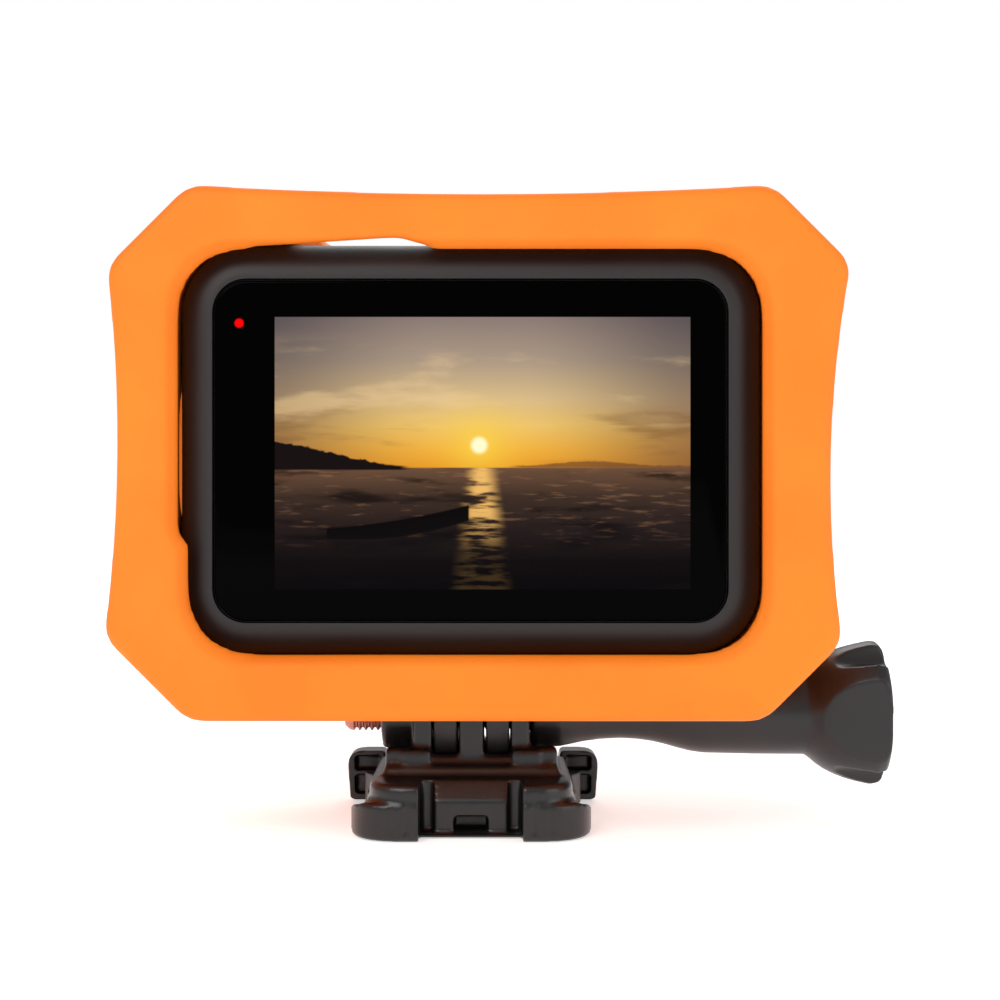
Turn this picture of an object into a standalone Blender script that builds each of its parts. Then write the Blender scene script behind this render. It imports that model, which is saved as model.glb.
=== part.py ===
"""Action camera in a foam float frame, held by a thumbscrew on a quick-release buckle.

+X runs along the thumbscrew towards its knob, +Y is where the lens looks, +Z is up.
The origin is the middle of the buckle's flat underside.
"""
import math

import bmesh
import bpy
from mathutils import Matrix, Vector

MM = 0.001

# Fits shared by every piece
GAP = 0.3 * MM
RUNNING_FIT = 0.15 * MM
PRONG_FIT = 0.25 * MM
OVERCUT = 1.0 * MM

# Camera body
BODY_WIDTH = 71.8 * MM
BODY_HEIGHT = 50.8 * MM
BODY_BOTTOM = 22.8 * MM
BODY_CORNER = 8.5 * MM
BODY_BACK = -17.2 * MM
BODY_FRONT = 10.8 * MM
BODY_SPLIT = -11.5 * MM
BODY_WALL = 2.4 * MM
BACK_WALL = 3.3 * MM
BACK_ROUND = 4.7 * MM
FRONT_ROUND = 1.8 * MM

# Rear and front screens
REAR_GLASS_WIDTH = 62.3 * MM
REAR_GLASS_HEIGHT = 41.4 * MM
REAR_GLASS_CORNER = 3.9 * MM
REAR_GLASS_MID = Vector((0.0, 48.0)) * MM
REAR_DISPLAY_WIDTH = 50.6 * MM
REAR_DISPLAY_HEIGHT = 33.2 * MM
REAR_DISPLAY_MID = Vector((1.47, 47.7)) * MM
REAR_LIGHT_MID = Vector((-28.1, 63.5)) * MM
REAR_LIGHT_RADIUS = 0.57 * MM
FRONT_GLASS_WIDTH = 27.0 * MM
FRONT_GLASS_HEIGHT = 24.0 * MM
FRONT_GLASS_CORNER = 3.0 * MM
FRONT_GLASS_MID = Vector((15.5, 56.0)) * MM
FRONT_DISPLAY_WIDTH = 22.0 * MM
FRONT_DISPLAY_HEIGHT = 19.0 * MM
FRONT_LIGHT_MID = Vector((15.5, 38.5)) * MM
GLASS_THICKNESS = 1.0 * MM
GLASS_PROUD = 0.1 * MM
DISPLAY_THICKNESS = 1.2 * MM

# Lens and its turning cover
LENS_MID = Vector((-17.5, 56.5)) * MM
COVER_HALF = 10.4 * MM
COVER_CORNER = 4.0 * MM
COVER_DEPTH = 5.3 * MM
COVER_GLASS_HALF = 8.4 * MM
BARREL_RADIUS = 7.4 * MM
BARREL_BORE = 6.0 * MM
BARREL_BACK = -4.0 * MM
BARREL_FRONT = 13.0 * MM

# Buttons
SHUTTER_MID = Vector((-13.0, -1.0)) * MM
SHUTTER_RADIUS = 4.2 * MM
SHUTTER_TRAVEL = 0.8 * MM
MODE_MID = Vector((-1.0, 48.0)) * MM
MODE_WIDTH = 5.0 * MM
MODE_HEIGHT = 12.0 * MM
MODE_TRAVEL = 0.6 * MM
BUTTON_PROUD = 0.4 * MM
BUTTON_LIP = 0.8 * MM

# Inside the body
BATTERY_LOW = Vector((-6.5, -8.0, 31.4)) * MM
BATTERY_HIGH = Vector((31.5, 4.0, 60.9)) * MM
SCREW_SPREAD_X = 26.0 * MM
SCREW_LOW_Z = 28.8 * MM
SCREW_HIGH_Z = 67.0 * MM
SCREW_RADIUS = 0.8 * MM
SCREW_HEAD = 1.3 * MM
SCREW_BOSS = 2.2 * MM

# Side door
DOOR_LOW = Vector((-9.2, 31.8)) * MM
DOOR_HIGH = Vector((6.2, 64.8)) * MM
DOOR_THICKNESS = 1.2 * MM
DOOR_LEDGE = 0.8 * MM

# Thumbscrew axis and three-prong joint
AXIS_HEIGHT = 14.0 * MM
BOLT_RADIUS = 2.5 * MM
BOLT_TIP_X = -16.7 * MM
BOLT_END_X = 26.0 * MM
PRONG_RADIUS = 7.5 * MM
PRONG_CENTRE = 3.2 * MM
PRONG_OUTER = 2.3 * MM
PRONG_SPACE = 3.5 * MM
FINGER_THICKNESS = 3.0 * MM
FINGER_RADIUS = 7.4 * MM
FINGER_STEM = 5.5 * MM
FINGER_FLOOR_GAP = 0.4 * MM
TROUGH_STEP = 0.05 * MM
FINGER_ROOM_X = 13.0 * MM
FINGER_ROOM_Y = 8.3 * MM
FINGER_ROOM_DEPTH = 4.0 * MM
FINGER_PIN_RADIUS = 0.7 * MM
NUT_BOSS_RADIUS = 4.8 * MM
NUT_BOSS_LENGTH = 4.4 * MM
NUT_FLATS = 7.0 * MM
NUT_THICKNESS = 3.2 * MM
SLEEVE_RADIUS = 5.6 * MM
KNOB_RADIUS = 9.5 * MM
KNOB_END_X = 53.8 * MM
KNOB_START_X = 44.0 * MM
KNOB_FLAT = 8.15 * MM
KNOB_FLAT_SLOPE = math.radians(9)
KNOB_GROOVE = 2.1 * MM
KNOB_LOBE_TURN = math.radians(-1)

# Lens and inside pieces
FRONT_LENS_FACE = (
    Vector((0, 12.2)) * MM, Vector((2.2, 12.0)) * MM, Vector((4.2, 11.2)) * MM, Vector((0, 9.8)) * MM,
)
FRONT_LENS_BACK = 8.6 * MM
REAR_LENS_FACE = (Vector((0, 0.6)) * MM, Vector((3.0, 0.3)) * MM, Vector((0, -0.6)) * MM)
REAR_LENS_BACK = -2.2 * MM
SENSOR_WIDTH = 15.0 * MM
SENSOR_THICKNESS = 2.2 * MM
SPREADER_HALF = 23.0 * MM
SPREADER_FRONT = -12.6 * MM
BOARD_HALF = 22.0 * MM
BOARD_BACK = -11.8 * MM
BOARD_FRONT = -10.6 * MM
BOARD_BOTTOM = 32.0 * MM
BOARD_TOP = 65.0 * MM

# Quick-release buckle
RAIL_HALF = 15.0 * MM
RAIL_HEIGHT = 4.6 * MM
DECK_HALF = 12.8 * MM
DECK_HEIGHT = 6.9 * MM
NOSE_Y = -15.6 * MM
NOSE_CORNER = 6.0 * MM
NOSE_END_Y = -6.2 * MM
PLATE_HALF = 8.4 * MM
PLATE_END_Y = 14.0 * MM
DECK_END_Y = 8.0 * MM
TONGUE_HALF = 4.6 * MM
TONGUE_SLOT = 1.8 * MM
TONGUE_SET_BACK = 3.0 * MM
PEDESTAL_HALF = 11.3 * MM
PEDESTAL_DEPTH = 7.2 * MM
PEDESTAL_TOP = 9.4 * MM
PEDESTAL_EDGE = 1.0 * MM
PEDESTAL_STEP = 1.1 * MM
PEDESTAL_INSET = 2.3 * MM
SKIRT_FRONT_Y = -8.8 * MM
SHOULDER_LOW = Vector((7.0, 5.0, 7.5)) * MM
SHOULDER_HIGH = Vector((11.0, 7.9, 10.3)) * MM
SHOULDER_EDGE = 0.5 * MM
NOSE_SLOT_DEPTH = 5.0 * MM
NOSE_WINDOW_LOW = Vector((-2.15, -20.0, 0.6)) * MM
NOSE_WINDOW_HIGH = Vector((2.15, -9.3, 2.6)) * MM
ARM_PIVOT = Vector((12.2, -7.0)) * MM
ARM_KNUCKLE = 1.1 * MM
ARM_INNER = 11.0 * MM
ARM_OUTER = 13.4 * MM
ARM_LOW = 0.4 * MM
ARM_HEIGHT = RAIL_HEIGHT - ARM_LOW
TAB_HALF = 17.5 * MM
TAB_INNER = 12.1 * MM
TAB_TOP = 7.2 * MM
TAB_Y = 9.8 * MM
TAB_DEPTH = 3.6 * MM
TAB_LEAN = 0.5 * MM
TAB_ROUND = 2.4 * MM
ARM_NECK = 0.6 * MM
ARM_BARB = 1.4 * MM
ARM_BARB_Y = 7.8 * MM
ARM_BARB_END_Y = 8.5 * MM

# Foam float
FLOAT_LEFT = Vector((-44.2, -43.75)) * MM
FLOAT_RIGHT = Vector((44.85, 45.9)) * MM
FLOAT_BOTTOM = 15.3 * MM
FLOAT_TOP = 80.0 * MM
FLOAT_DEPTH = 40.0 * MM
FLOAT_CHAMFER = 9.6 * MM
FLOAT_CORNER = 2.4 * MM
FLOAT_LEFT_SAG = 1.35 * MM
FLOAT_RIGHT_SAG = 1.85 * MM
FLOAT_TOP_SAG = 1.1 * MM
FLOAT_ROUND = 1.3 * MM
WINDOW_LAP = 0.6 * MM
WINDOW_TOP_LAP = 1.3 * MM
WINDOW_CORNER = 9.0 * MM
WINDOW_LOW_LAP = 1.9 * MM
FRONT_WINDOW_LAP = 2.9 * MM
FRONT_WINDOW_FLARE = 1.09
SHUTTER_OPENING_LOW = Vector((-22.0, -16.8)) * MM
SHUTTER_OPENING_HIGH = Vector((-5.0, 12.5)) * MM
MODE_OPENING_LOW = Vector((-12.0, 39.5)) * MM
MODE_OPENING_HIGH = Vector((4.0, 56.0)) * MM
SIGHT_SLOPE = math.atan(0.16)
MOUNT_SLOT_LEFT = -19.0 * MM
MOUNT_SLOT_RIGHT = 9.0 * MM
MOUNT_SLOT_HALF = 9.0 * MM
SLEEVE_CHANNEL_ROOM = 0.6 * MM

BODY_TOP = BODY_BOTTOM + BODY_HEIGHT
BODY_HALF = BODY_WIDTH / 2
BODY_MID_Z = BODY_BOTTOM + BODY_HEIGHT / 2
CAVITY_HALF = BODY_HALF - BODY_WALL
CAVITY_TOP = BODY_TOP - BODY_WALL
GLASS_SEAT = BODY_BACK + GLASS_THICKNESS + GAP - GLASS_PROUD
SCREW_END_Y = -5.5 * MM
SCREW_HEAD_TOP = GLASS_SEAT + 0.1 * MM
SCREW_HEAD_Y = SCREW_HEAD_TOP + 1.0 * MM
FINGER_PIN_Z = BODY_BOTTOM + 1.7 * MM
FINGER_PIN_REACH = FINGER_ROOM_Y + 1.2 * MM
FLOAT_BACK = -FLOAT_DEPTH / 2
FLOAT_FRONT = FLOAT_DEPTH / 2
BOLT_BORE = BOLT_RADIUS + PRONG_FIT
PRONG_FACE = PRONG_CENTRE / 2 + PRONG_SPACE + PRONG_OUTER
FINGER_MID = PRONG_CENTRE / 2 + PRONG_SPACE / 2
AXIS = Vector((0.0, 0.0, AXIS_HEIGHT))

TURN_TO = {
    "X": Matrix(((0, 0, 1, 0), (1, 0, 0, 0), (0, 1, 0, 0), (0, 0, 0, 1))),
    "Y": Matrix(((1, 0, 0, 0), (0, 0, -1, 0), (0, 1, 0, 0), (0, 0, 0, 1))),
    "Z": Matrix.Identity(4),
}


def clear_scene():
    for item in list(bpy.data.objects):
        bpy.data.objects.remove(item, do_unlink=True)


def new_collection(name):
    collection = bpy.data.collections.new(name)
    bpy.context.scene.collection.children.link(collection)
    return collection


def add_object(name, data):
    item = bpy.data.objects.new(name, data)
    parts.objects.link(item)
    return item


# ---------------------------------------------------------------- outlines
def arc(centre, radius, start_degrees, end_degrees, steps):
    points = []
    for step in range(steps + 1):
        angle = math.radians(start_degrees + (end_degrees - start_degrees) * step / steps)
        points.append((centre[0] + radius * math.cos(angle), centre[1] + radius * math.sin(angle)))
    return points


def rounded_rectangle(low, high, radius, steps=5):
    return (
        arc((high[0] - radius, high[1] - radius), radius, 0, 90, steps)
        + arc((low[0] + radius, high[1] - radius), radius, 90, 180, steps)
        + arc((low[0] + radius, low[1] + radius), radius, 180, 270, steps)
        + arc((high[0] - radius, low[1] + radius), radius, 270, 360, steps)
    )


def centred_rectangle(middle, width, height, radius, steps=5):
    half = Vector((width / 2, height / 2))
    return rounded_rectangle(Vector(middle[:2]) - half, Vector(middle[:2]) + half, radius, steps)


def bowed_line(start, end, sag, steps=6):
    """Points from start up to end, bowed to the left of the way by a parabola of this depth."""
    along = Vector(end) - Vector(start)
    left = Vector((-along.y, along.x)).normalized()
    points = []
    for step in range(1, steps):
        share = step / steps
        points.append(tuple(Vector(start) + along * share + left * sag * 4 * share * (1 - share)))
    return points


def fillet(points, radii, steps=3):
    """Replace each corner that has a radius by a short arc of that tangent length."""
    rounded = []
    for index, point in enumerate(points):
        corner = Vector(point)
        if radii[index] == 0:
            rounded.append(tuple(corner))
            continue
        before = (Vector(points[index - 1]) - corner).normalized() * radii[index]
        after = (Vector(points[(index + 1) % len(points)]) - corner).normalized() * radii[index]
        for step in range(steps + 1):
            share = step / steps
            rounded.append(tuple(corner + before * (1 - share) ** 2 + after * share ** 2))
    return rounded


# ---------------------------------------------------------------- solids
def welded_mesh(item):
    """The evaluated mesh of a curve object, with its caps welded on."""
    mesh = bpy.data.meshes.new_from_object(item.evaluated_get(bpy.context.evaluated_depsgraph_get()))
    work = bmesh.new()
    work.from_mesh(mesh)
    bmesh.ops.remove_doubles(work, verts=work.verts, dist=0.001 * MM)
    bmesh.ops.recalc_face_normals(work, faces=work.faces)
    work.to_mesh(mesh)
    work.free()
    return mesh


def plate(name, outline, axis, start, end):
    """A flat outline pushed along an axis. The outline is (Y, Z) for X, (X, Z) for Y, (X, Y) for Z."""
    curve = bpy.data.curves.new(name, "CURVE")
    curve.dimensions = "2D"
    curve.fill_mode = "BOTH"
    curve.extrude = abs(end - start) / 2
    spline = curve.splines.new("POLY")
    spline.points.add(len(outline) - 1)
    for point, place in zip(spline.points, outline):
        point.co = (place[0], place[1], 0, 1)
    spline.use_cyclic_u = True
    outline_object = add_object(name, curve)
    middle = (start + end) / 2
    push = Vector((0, 0, middle)) if axis != "Y" else Vector((0, 0, -middle))
    outline_object.matrix_world = TURN_TO[axis] @ Matrix.Translation(push)
    bpy.context.view_layer.update()
    matrix = outline_object.matrix_world.copy()
    mesh = welded_mesh(outline_object)
    bpy.data.objects.remove(outline_object, do_unlink=True)
    mesh.transform(matrix)
    return add_object(name, mesh)


def box(name, low, high):
    work = bmesh.new()
    bmesh.ops.create_cube(work, size=1.0)
    size = Vector(high) - Vector(low)
    middle = (Vector(high) + Vector(low)) / 2
    work.transform(Matrix.Translation(middle) @ Matrix.Diagonal(size).to_4x4())
    mesh = bpy.data.meshes.new(name)
    work.to_mesh(mesh)
    work.free()
    return add_object(name, mesh)


def rod(name, axis, centre, radius, start, end, sides=32):
    """A round bar between two places on its axis. The centre's own place along the axis is not used."""
    work = bmesh.new()
    bmesh.ops.create_cone(
        work, cap_ends=True, segments=sides, radius1=radius, radius2=radius, depth=end - start
    )
    middle = (start + end) / 2
    push = Vector((0, 0, middle)) if axis != "Y" else Vector((0, 0, -middle))
    work.transform(TURN_TO[axis] @ Matrix.Translation(push))
    across = Vector(centre)
    across["XYZ".index(axis)] = 0
    work.transform(Matrix.Translation(across))
    mesh = bpy.data.meshes.new(name)
    work.to_mesh(mesh)
    work.free()
    mesh.shade_smooth()
    mesh.set_sharp_from_angle(angle=math.radians(30))
    return add_object(name, mesh)


def turned(name, profile, axis, centre, steps=36):
    """Turn (radius, place along the axis) points about the axis, listed from the far end back."""
    mesh = bpy.data.meshes.new(name)
    sign = -1 if axis == "Y" else 1
    ordered = profile if sign == 1 else list(reversed(profile))
    corners = [(radius, 0, sign * place) for radius, place in ordered]
    edges = [(index, index + 1) for index in range(len(corners) - 1)]
    mesh.from_pydata(corners, edges, [])
    item = add_object(name, mesh)
    screw = item.modifiers.new("turn", "SCREW")
    screw.steps = steps
    screw.render_steps = steps
    screw.use_merge_vertices = True
    screw.merge_threshold = 0.001 * MM
    screw.use_smooth_shade = True
    item.matrix_world = Matrix.Translation(centre) @ TURN_TO[axis]
    return settle(item)


def settle(item):
    """Write an object's modifiers and placing into its mesh."""
    bpy.context.view_layer.update()
    mesh = bpy.data.meshes.new_from_object(item.evaluated_get(bpy.context.evaluated_depsgraph_get()))
    mesh.transform(item.matrix_world)
    item.modifiers.clear()
    item.data = mesh
    item.matrix_world = Matrix.Identity(4)
    return item


def round_edges(item, width, segments=2, angle=50):
    bevel = item.modifiers.new("round", "BEVEL")
    bevel.width = width
    bevel.segments = segments
    bevel.limit_method = "ANGLE"
    bevel.angle_limit = math.radians(angle)
    return settle(item)


def round_end(item, axis, place, width, segments):
    """Round over the rim of the flat end that lies at this place along the axis."""
    index = "XYZ".index(axis)
    work = bmesh.new()
    work.from_mesh(item.data)
    rim = []
    for edge in work.edges:
        at_end = all(abs(corner.co[index] - place) < 0.01 * MM for corner in edge.verts)
        if at_end and edge.calc_face_angle(0) > math.radians(40):
            rim.append(edge)
    bmesh.ops.bevel(work, geom=rim, offset=width, segments=segments, profile=0.5, affect="EDGES")
    work.to_mesh(item.data)
    work.free()
    return item


def put_away(item):
    parts.objects.unlink(item)
    cutters.objects.link(item)
    item.hide_render = True
    item.display_type = "WIRE"


def combine(item, other, operation):
    boolean = item.modifiers.new(operation.lower(), "BOOLEAN")
    boolean.operation = operation
    boolean.solver = "EXACT"
    boolean.object = other
    put_away(other)
    return item


def cut(item, *tools):
    for tool in tools:
        combine(item, tool, "DIFFERENCE")
    return item


def fuse(item, *others):
    for other in others:
        combine(item, other, "UNION")
    return item


def tilt(item, pivot, angle):
    """Turn a cutter about an X line through the pivot."""
    spin = Matrix.Translation(pivot) @ Matrix.Rotation(angle, 4, "X") @ Matrix.Translation(-Vector(pivot))
    item.data.transform(spin)
    return item


def taper(item, place, scale, middle):
    """Widen the outline of a Y plate beyond a place along Y."""
    for corner in item.data.vertices:
        if corner.co.y > place:
            corner.co.x = middle[0] + (corner.co.x - middle[0]) * scale
            corner.co.z = middle[1] + (corner.co.z - middle[1]) * scale
    return item


# ---------------------------------------------------------------- camera shells
def body_outline(inset):
    low = Vector((-BODY_HALF + inset, BODY_BOTTOM + inset))
    high = Vector((BODY_HALF - inset, BODY_TOP - inset))
    return rounded_rectangle(low, high, BODY_CORNER - inset, 6)


def screw_places():
    for side in (-1, 1):
        for height in (SCREW_LOW_Z, SCREW_HIGH_Z):
            yield Vector((side * SCREW_SPREAD_X, 0, height))


def build_front_housing():
    shell = plate("front_housing", body_outline(0), "Y", BODY_SPLIT + GAP, BODY_FRONT)
    round_end(shell, "Y", BODY_FRONT, FRONT_ROUND, 3)
    cavity_end = BODY_FRONT - BODY_WALL + 0.4 * MM
    cavity = plate("cavity", body_outline(BODY_WALL), "Y", BODY_SPLIT - OVERCUT, cavity_end)
    cut(shell, cavity)
    floor_low = Vector((
        -FINGER_ROOM_X - BODY_WALL, -FINGER_ROOM_Y - BODY_WALL, BODY_BOTTOM + BODY_WALL / 2
    ))
    floor_high = Vector((
        FINGER_ROOM_X + BODY_WALL, BODY_FRONT - BODY_WALL / 2, BODY_BOTTOM + FINGER_ROOM_DEPTH + 2 * MM
    ))
    fuse(shell, box("finger_floor", floor_low, floor_high))
    for place in screw_places():
        boss = rod("boss", "Y", place, SCREW_BOSS, BODY_SPLIT + GAP, BODY_FRONT - BODY_WALL / 2, 16)
        fuse(shell, boss)
    cut_finger_room(shell)
    for place in screw_places():
        hole_end = SCREW_END_Y + GAP
        cut(shell, rod("screw_hole", "Y", place, SCREW_RADIUS + GAP, BODY_SPLIT - OVERCUT, hole_end, 12))
    cut_front_face(shell)
    cut_button_holes(shell)
    cut_door_bay(shell)
    return shell


def cut_finger_room(shell):
    low = Vector((-FINGER_ROOM_X, -FINGER_ROOM_Y, BODY_BOTTOM - OVERCUT))
    high = Vector((FINGER_ROOM_X, FINGER_ROOM_Y, BODY_BOTTOM + FINGER_ROOM_DEPTH))
    cut(shell, box("finger_room", low, high))
    for side in (-1, 1):
        centre = Vector((side * FINGER_MID, 0, FINGER_PIN_Z))
        reach = FINGER_PIN_REACH + GAP
        cut(shell, rod("pin_hole", "Y", centre, FINGER_PIN_RADIUS + RUNNING_FIT, -reach, reach, 16))


def cut_front_face(shell):
    lens = Vector((LENS_MID.x, 0, LENS_MID.y))
    cut(shell, rod("lens_port", "Y", lens, BARREL_RADIUS + GAP, 0, BODY_FRONT + OVERCUT))
    seat = centred_rectangle(
        FRONT_GLASS_MID, FRONT_GLASS_WIDTH + 2 * GAP, FRONT_GLASS_HEIGHT + 2 * GAP, FRONT_GLASS_CORNER + GAP
    )
    seat_depth = BODY_FRONT + GLASS_PROUD - GLASS_THICKNESS - GAP
    cut(shell, plate("front_seat", seat, "Y", seat_depth, BODY_FRONT + OVERCUT))
    window = centred_rectangle(
        FRONT_GLASS_MID, FRONT_DISPLAY_WIDTH + 2 * GAP, FRONT_DISPLAY_HEIGHT + 2 * GAP, 1.0 * MM, 2
    )
    cut(shell, plate("front_window", window, "Y", 0, BODY_FRONT))
    light = Vector((FRONT_LIGHT_MID.x, 0, FRONT_LIGHT_MID.y))
    cut(shell, rod("front_light_hole", "Y", light, REAR_LIGHT_RADIUS + GAP, 0, BODY_FRONT + OVERCUT, 12))


def cut_button_holes(shell):
    shutter = Vector((SHUTTER_MID.x, SHUTTER_MID.y, 0))
    hole_start = BODY_TOP - 2 * BODY_WALL
    cut(shell, rod("shutter_hole", "Z", shutter, SHUTTER_RADIUS + GAP, hole_start, BODY_TOP + OVERCUT))
    outline = centred_rectangle(
        MODE_MID, MODE_WIDTH + 2 * GAP, MODE_HEIGHT + 2 * GAP, MODE_WIDTH / 2 + GAP
    )
    cut(shell, plate("mode_hole", outline, "X", -BODY_HALF - OVERCUT, -BODY_HALF + 2 * BODY_WALL))


def cut_door_bay(shell):
    gap = Vector((GAP, GAP))
    recess = rounded_rectangle(DOOR_LOW - gap, DOOR_HIGH + gap, 2.0 * MM, 3)
    cut(shell, plate("door_recess", recess, "X", BODY_HALF - DOOR_THICKNESS - GAP, BODY_HALF + OVERCUT))
    ledge = Vector((DOOR_LEDGE, DOOR_LEDGE))
    opening = rounded_rectangle(DOOR_LOW + ledge, DOOR_HIGH - ledge, 1.2 * MM, 3)
    cut(shell, plate("door_opening", opening, "X", CAVITY_HALF - 2 * MM, BODY_HALF))


def build_rear_housing():
    shell = plate("rear_housing", body_outline(0), "Y", BODY_BACK, BODY_SPLIT)
    round_end(shell, "Y", BODY_BACK, BACK_ROUND, 6)
    cavity_start = BODY_BACK + BACK_WALL
    cut(shell, plate("rear_cavity", body_outline(BODY_WALL), "Y", cavity_start, BODY_SPLIT + OVERCUT))
    seat = centred_rectangle(
        REAR_GLASS_MID, REAR_GLASS_WIDTH + 2 * GAP, REAR_GLASS_HEIGHT + 2 * GAP, REAR_GLASS_CORNER + GAP
    )
    cut(shell, plate("rear_seat", seat, "Y", BODY_BACK - OVERCUT, GLASS_SEAT))
    window = centred_rectangle(
        REAR_DISPLAY_MID, REAR_DISPLAY_WIDTH + 2 * GAP, REAR_DISPLAY_HEIGHT + 2 * GAP, 1.0 * MM, 2
    )
    cut(shell, plate("rear_window", window, "Y", BODY_BACK - OVERCUT, BODY_SPLIT))
    light = Vector((REAR_LIGHT_MID.x, 0, REAR_LIGHT_MID.y))
    cut(shell, rod("rear_light_hole", "Y", light, REAR_LIGHT_RADIUS + GAP, BODY_BACK, BODY_SPLIT, 12))
    for place in screw_places():
        cut(shell, rod("head_hole", "Y", place, SCREW_HEAD + GAP, BODY_BACK, SCREW_HEAD_Y + GAP, 16))
        cut(shell, rod("shank_hole", "Y", place, SCREW_RADIUS + GAP, BODY_BACK, BODY_SPLIT, 12))
    return shell


def build_screws():
    for number, place in enumerate(screw_places(), 1):
        profile = [
            (0, SCREW_END_Y), (SCREW_RADIUS, SCREW_END_Y), (SCREW_RADIUS, SCREW_HEAD_Y),
            (SCREW_HEAD, SCREW_HEAD_Y), (SCREW_HEAD, SCREW_HEAD_TOP), (0, SCREW_HEAD_TOP),
        ]
        turned(f"housing_screw_{number}", profile, "Y", place, 12)


# ---------------------------------------------------------------- screens
def build_screens():
    rear = centred_rectangle(REAR_GLASS_MID, REAR_GLASS_WIDTH, REAR_GLASS_HEIGHT, REAR_GLASS_CORNER)
    back = BODY_BACK - GLASS_PROUD
    plate("rear_glass", rear, "Y", back, back + GLASS_THICKNESS)
    behind = back + GLASS_THICKNESS + GAP
    lit = centred_rectangle(REAR_DISPLAY_MID, REAR_DISPLAY_WIDTH, REAR_DISPLAY_HEIGHT, 0.6 * MM, 2)
    plate("rear_display", lit, "Y", behind, behind + DISPLAY_THICKNESS)
    light = Vector((REAR_LIGHT_MID.x, 0, REAR_LIGHT_MID.y))
    rod("rear_status_light", "Y", light, REAR_LIGHT_RADIUS, behind, behind + 1.4 * MM, 12)

    front = centred_rectangle(FRONT_GLASS_MID, FRONT_GLASS_WIDTH, FRONT_GLASS_HEIGHT, FRONT_GLASS_CORNER)
    face = BODY_FRONT + GLASS_PROUD
    plate("front_glass", front, "Y", face - GLASS_THICKNESS, face)
    below = face - GLASS_THICKNESS - GAP
    lit = centred_rectangle(FRONT_GLASS_MID, FRONT_DISPLAY_WIDTH, FRONT_DISPLAY_HEIGHT, 0.6 * MM, 2)
    plate("front_display", lit, "Y", below - DISPLAY_THICKNESS, below)
    light = Vector((FRONT_LIGHT_MID.x, 0, FRONT_LIGHT_MID.y))
    rod("front_status_light", "Y", light, REAR_LIGHT_RADIUS, BODY_FRONT - BODY_WALL, BODY_FRONT, 12)


# ---------------------------------------------------------------- lens
def build_lens():
    centre = Vector((LENS_MID.x, 0, LENS_MID.y))
    cover_back = BODY_FRONT + GAP
    cover_front = cover_back + COVER_DEPTH
    cover = plate(
        "lens_cover", centred_rectangle(LENS_MID, 2 * COVER_HALF, 2 * COVER_HALF, COVER_CORNER), "Y",
        cover_back, cover_front,
    )
    round_end(cover, "Y", cover_front, 0.8 * MM, 2)
    bore = BARREL_RADIUS + GAP
    cut(cover, rod("cover_bore", "Y", centre, bore, cover_back - OVERCUT, cover_front + OVERCUT))
    glass_back = cover_front - GLASS_THICKNESS - GAP
    seat = centred_rectangle(
        LENS_MID, 2 * (COVER_GLASS_HALF + GAP), 2 * (COVER_GLASS_HALF + GAP), COVER_CORNER * 0.75
    )
    cut(cover, plate("cover_seat", seat, "Y", glass_back - GAP, cover_front + OVERCUT))
    pane = centred_rectangle(LENS_MID, 2 * COVER_GLASS_HALF, 2 * COVER_GLASS_HALF, COVER_CORNER * 0.7)
    plate("lens_cover_glass", pane, "Y", glass_back, glass_back + GLASS_THICKNESS)

    ring = [
        (BARREL_BORE, BARREL_FRONT), (BARREL_RADIUS, BARREL_FRONT), (BARREL_RADIUS, BARREL_BACK),
        (BARREL_BORE, BARREL_BACK), (BARREL_BORE, BARREL_FRONT),
    ]
    turned("lens_barrel", ring, "Y", centre)
    element = BARREL_BORE - RUNNING_FIT
    turned("front_lens", lens_profile(FRONT_LENS_FACE, FRONT_LENS_BACK, element), "Y", centre)
    turned("rear_lens", lens_profile(REAR_LENS_FACE, REAR_LENS_BACK, element), "Y", centre)
    half = SENSOR_WIDTH / 2
    low = Vector((LENS_MID.x - half, BARREL_BACK - SENSOR_THICKNESS, LENS_MID.y - half))
    high = Vector((LENS_MID.x + half, BARREL_BACK - GAP, LENS_MID.y + half))
    box("image_sensor", low, high)


def lens_profile(face, back, radius):
    """A domed face's points from the middle out, then a straight wall down to a flat back."""
    rim = face[-1].y
    points = [(point.x, point.y) for point in face[:-1]]
    return points + [(radius, rim), (radius, back), (0, back)]


# ---------------------------------------------------------------- inside pieces
def build_inside():
    inside_back = BODY_BACK + BACK_WALL + GAP
    spreader_low = Vector((-SPREADER_HALF, inside_back + 0.4 * MM, BOARD_BOTTOM))
    box("heat_spreader", spreader_low, Vector((SPREADER_HALF, SPREADER_FRONT, BOARD_TOP)))
    board_low = Vector((-BOARD_HALF, BOARD_BACK, BOARD_BOTTOM))
    box("main_board", board_low, Vector((BOARD_HALF, BOARD_FRONT, BOARD_TOP)))
    battery = box("battery", BATTERY_LOW, BATTERY_HIGH)
    round_edges(battery, 1.2 * MM, 2)
    card_low = Vector((16, 4.6, 33)) * MM
    box("memory_card", card_low, card_low + Vector((15, 1.0, 11)) * MM)
    socket_top = BATTERY_HIGH.z + 3.4 * MM
    socket_low = Vector((25 * MM, -6.0 * MM, BATTERY_HIGH.z + 0.4 * MM))
    socket = box("usb_socket", socket_low, Vector((33 * MM, 3.0 * MM, socket_top)))
    round_edges(socket, 0.8 * MM, 2)
    port = Vector((26.5 * MM, -4.9 * MM, BATTERY_HIGH.z + 1.1 * MM))
    port_high = Vector((33 * MM + OVERCUT, 1.9 * MM, socket_top - 0.7 * MM))
    cut(socket, box("usb_port", port, port_high))
    low = Vector((-30, 3.4, 33)) * MM
    round_edges(box("speaker", low, low + Vector((9, 3.6, 7)) * MM), 0.6 * MM, 1)
    rod("front_microphone", "Y", Vector((-8, 0, 36)) * MM, 2.0 * MM, 5.6 * MM, 8.2 * MM, 16)


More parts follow.
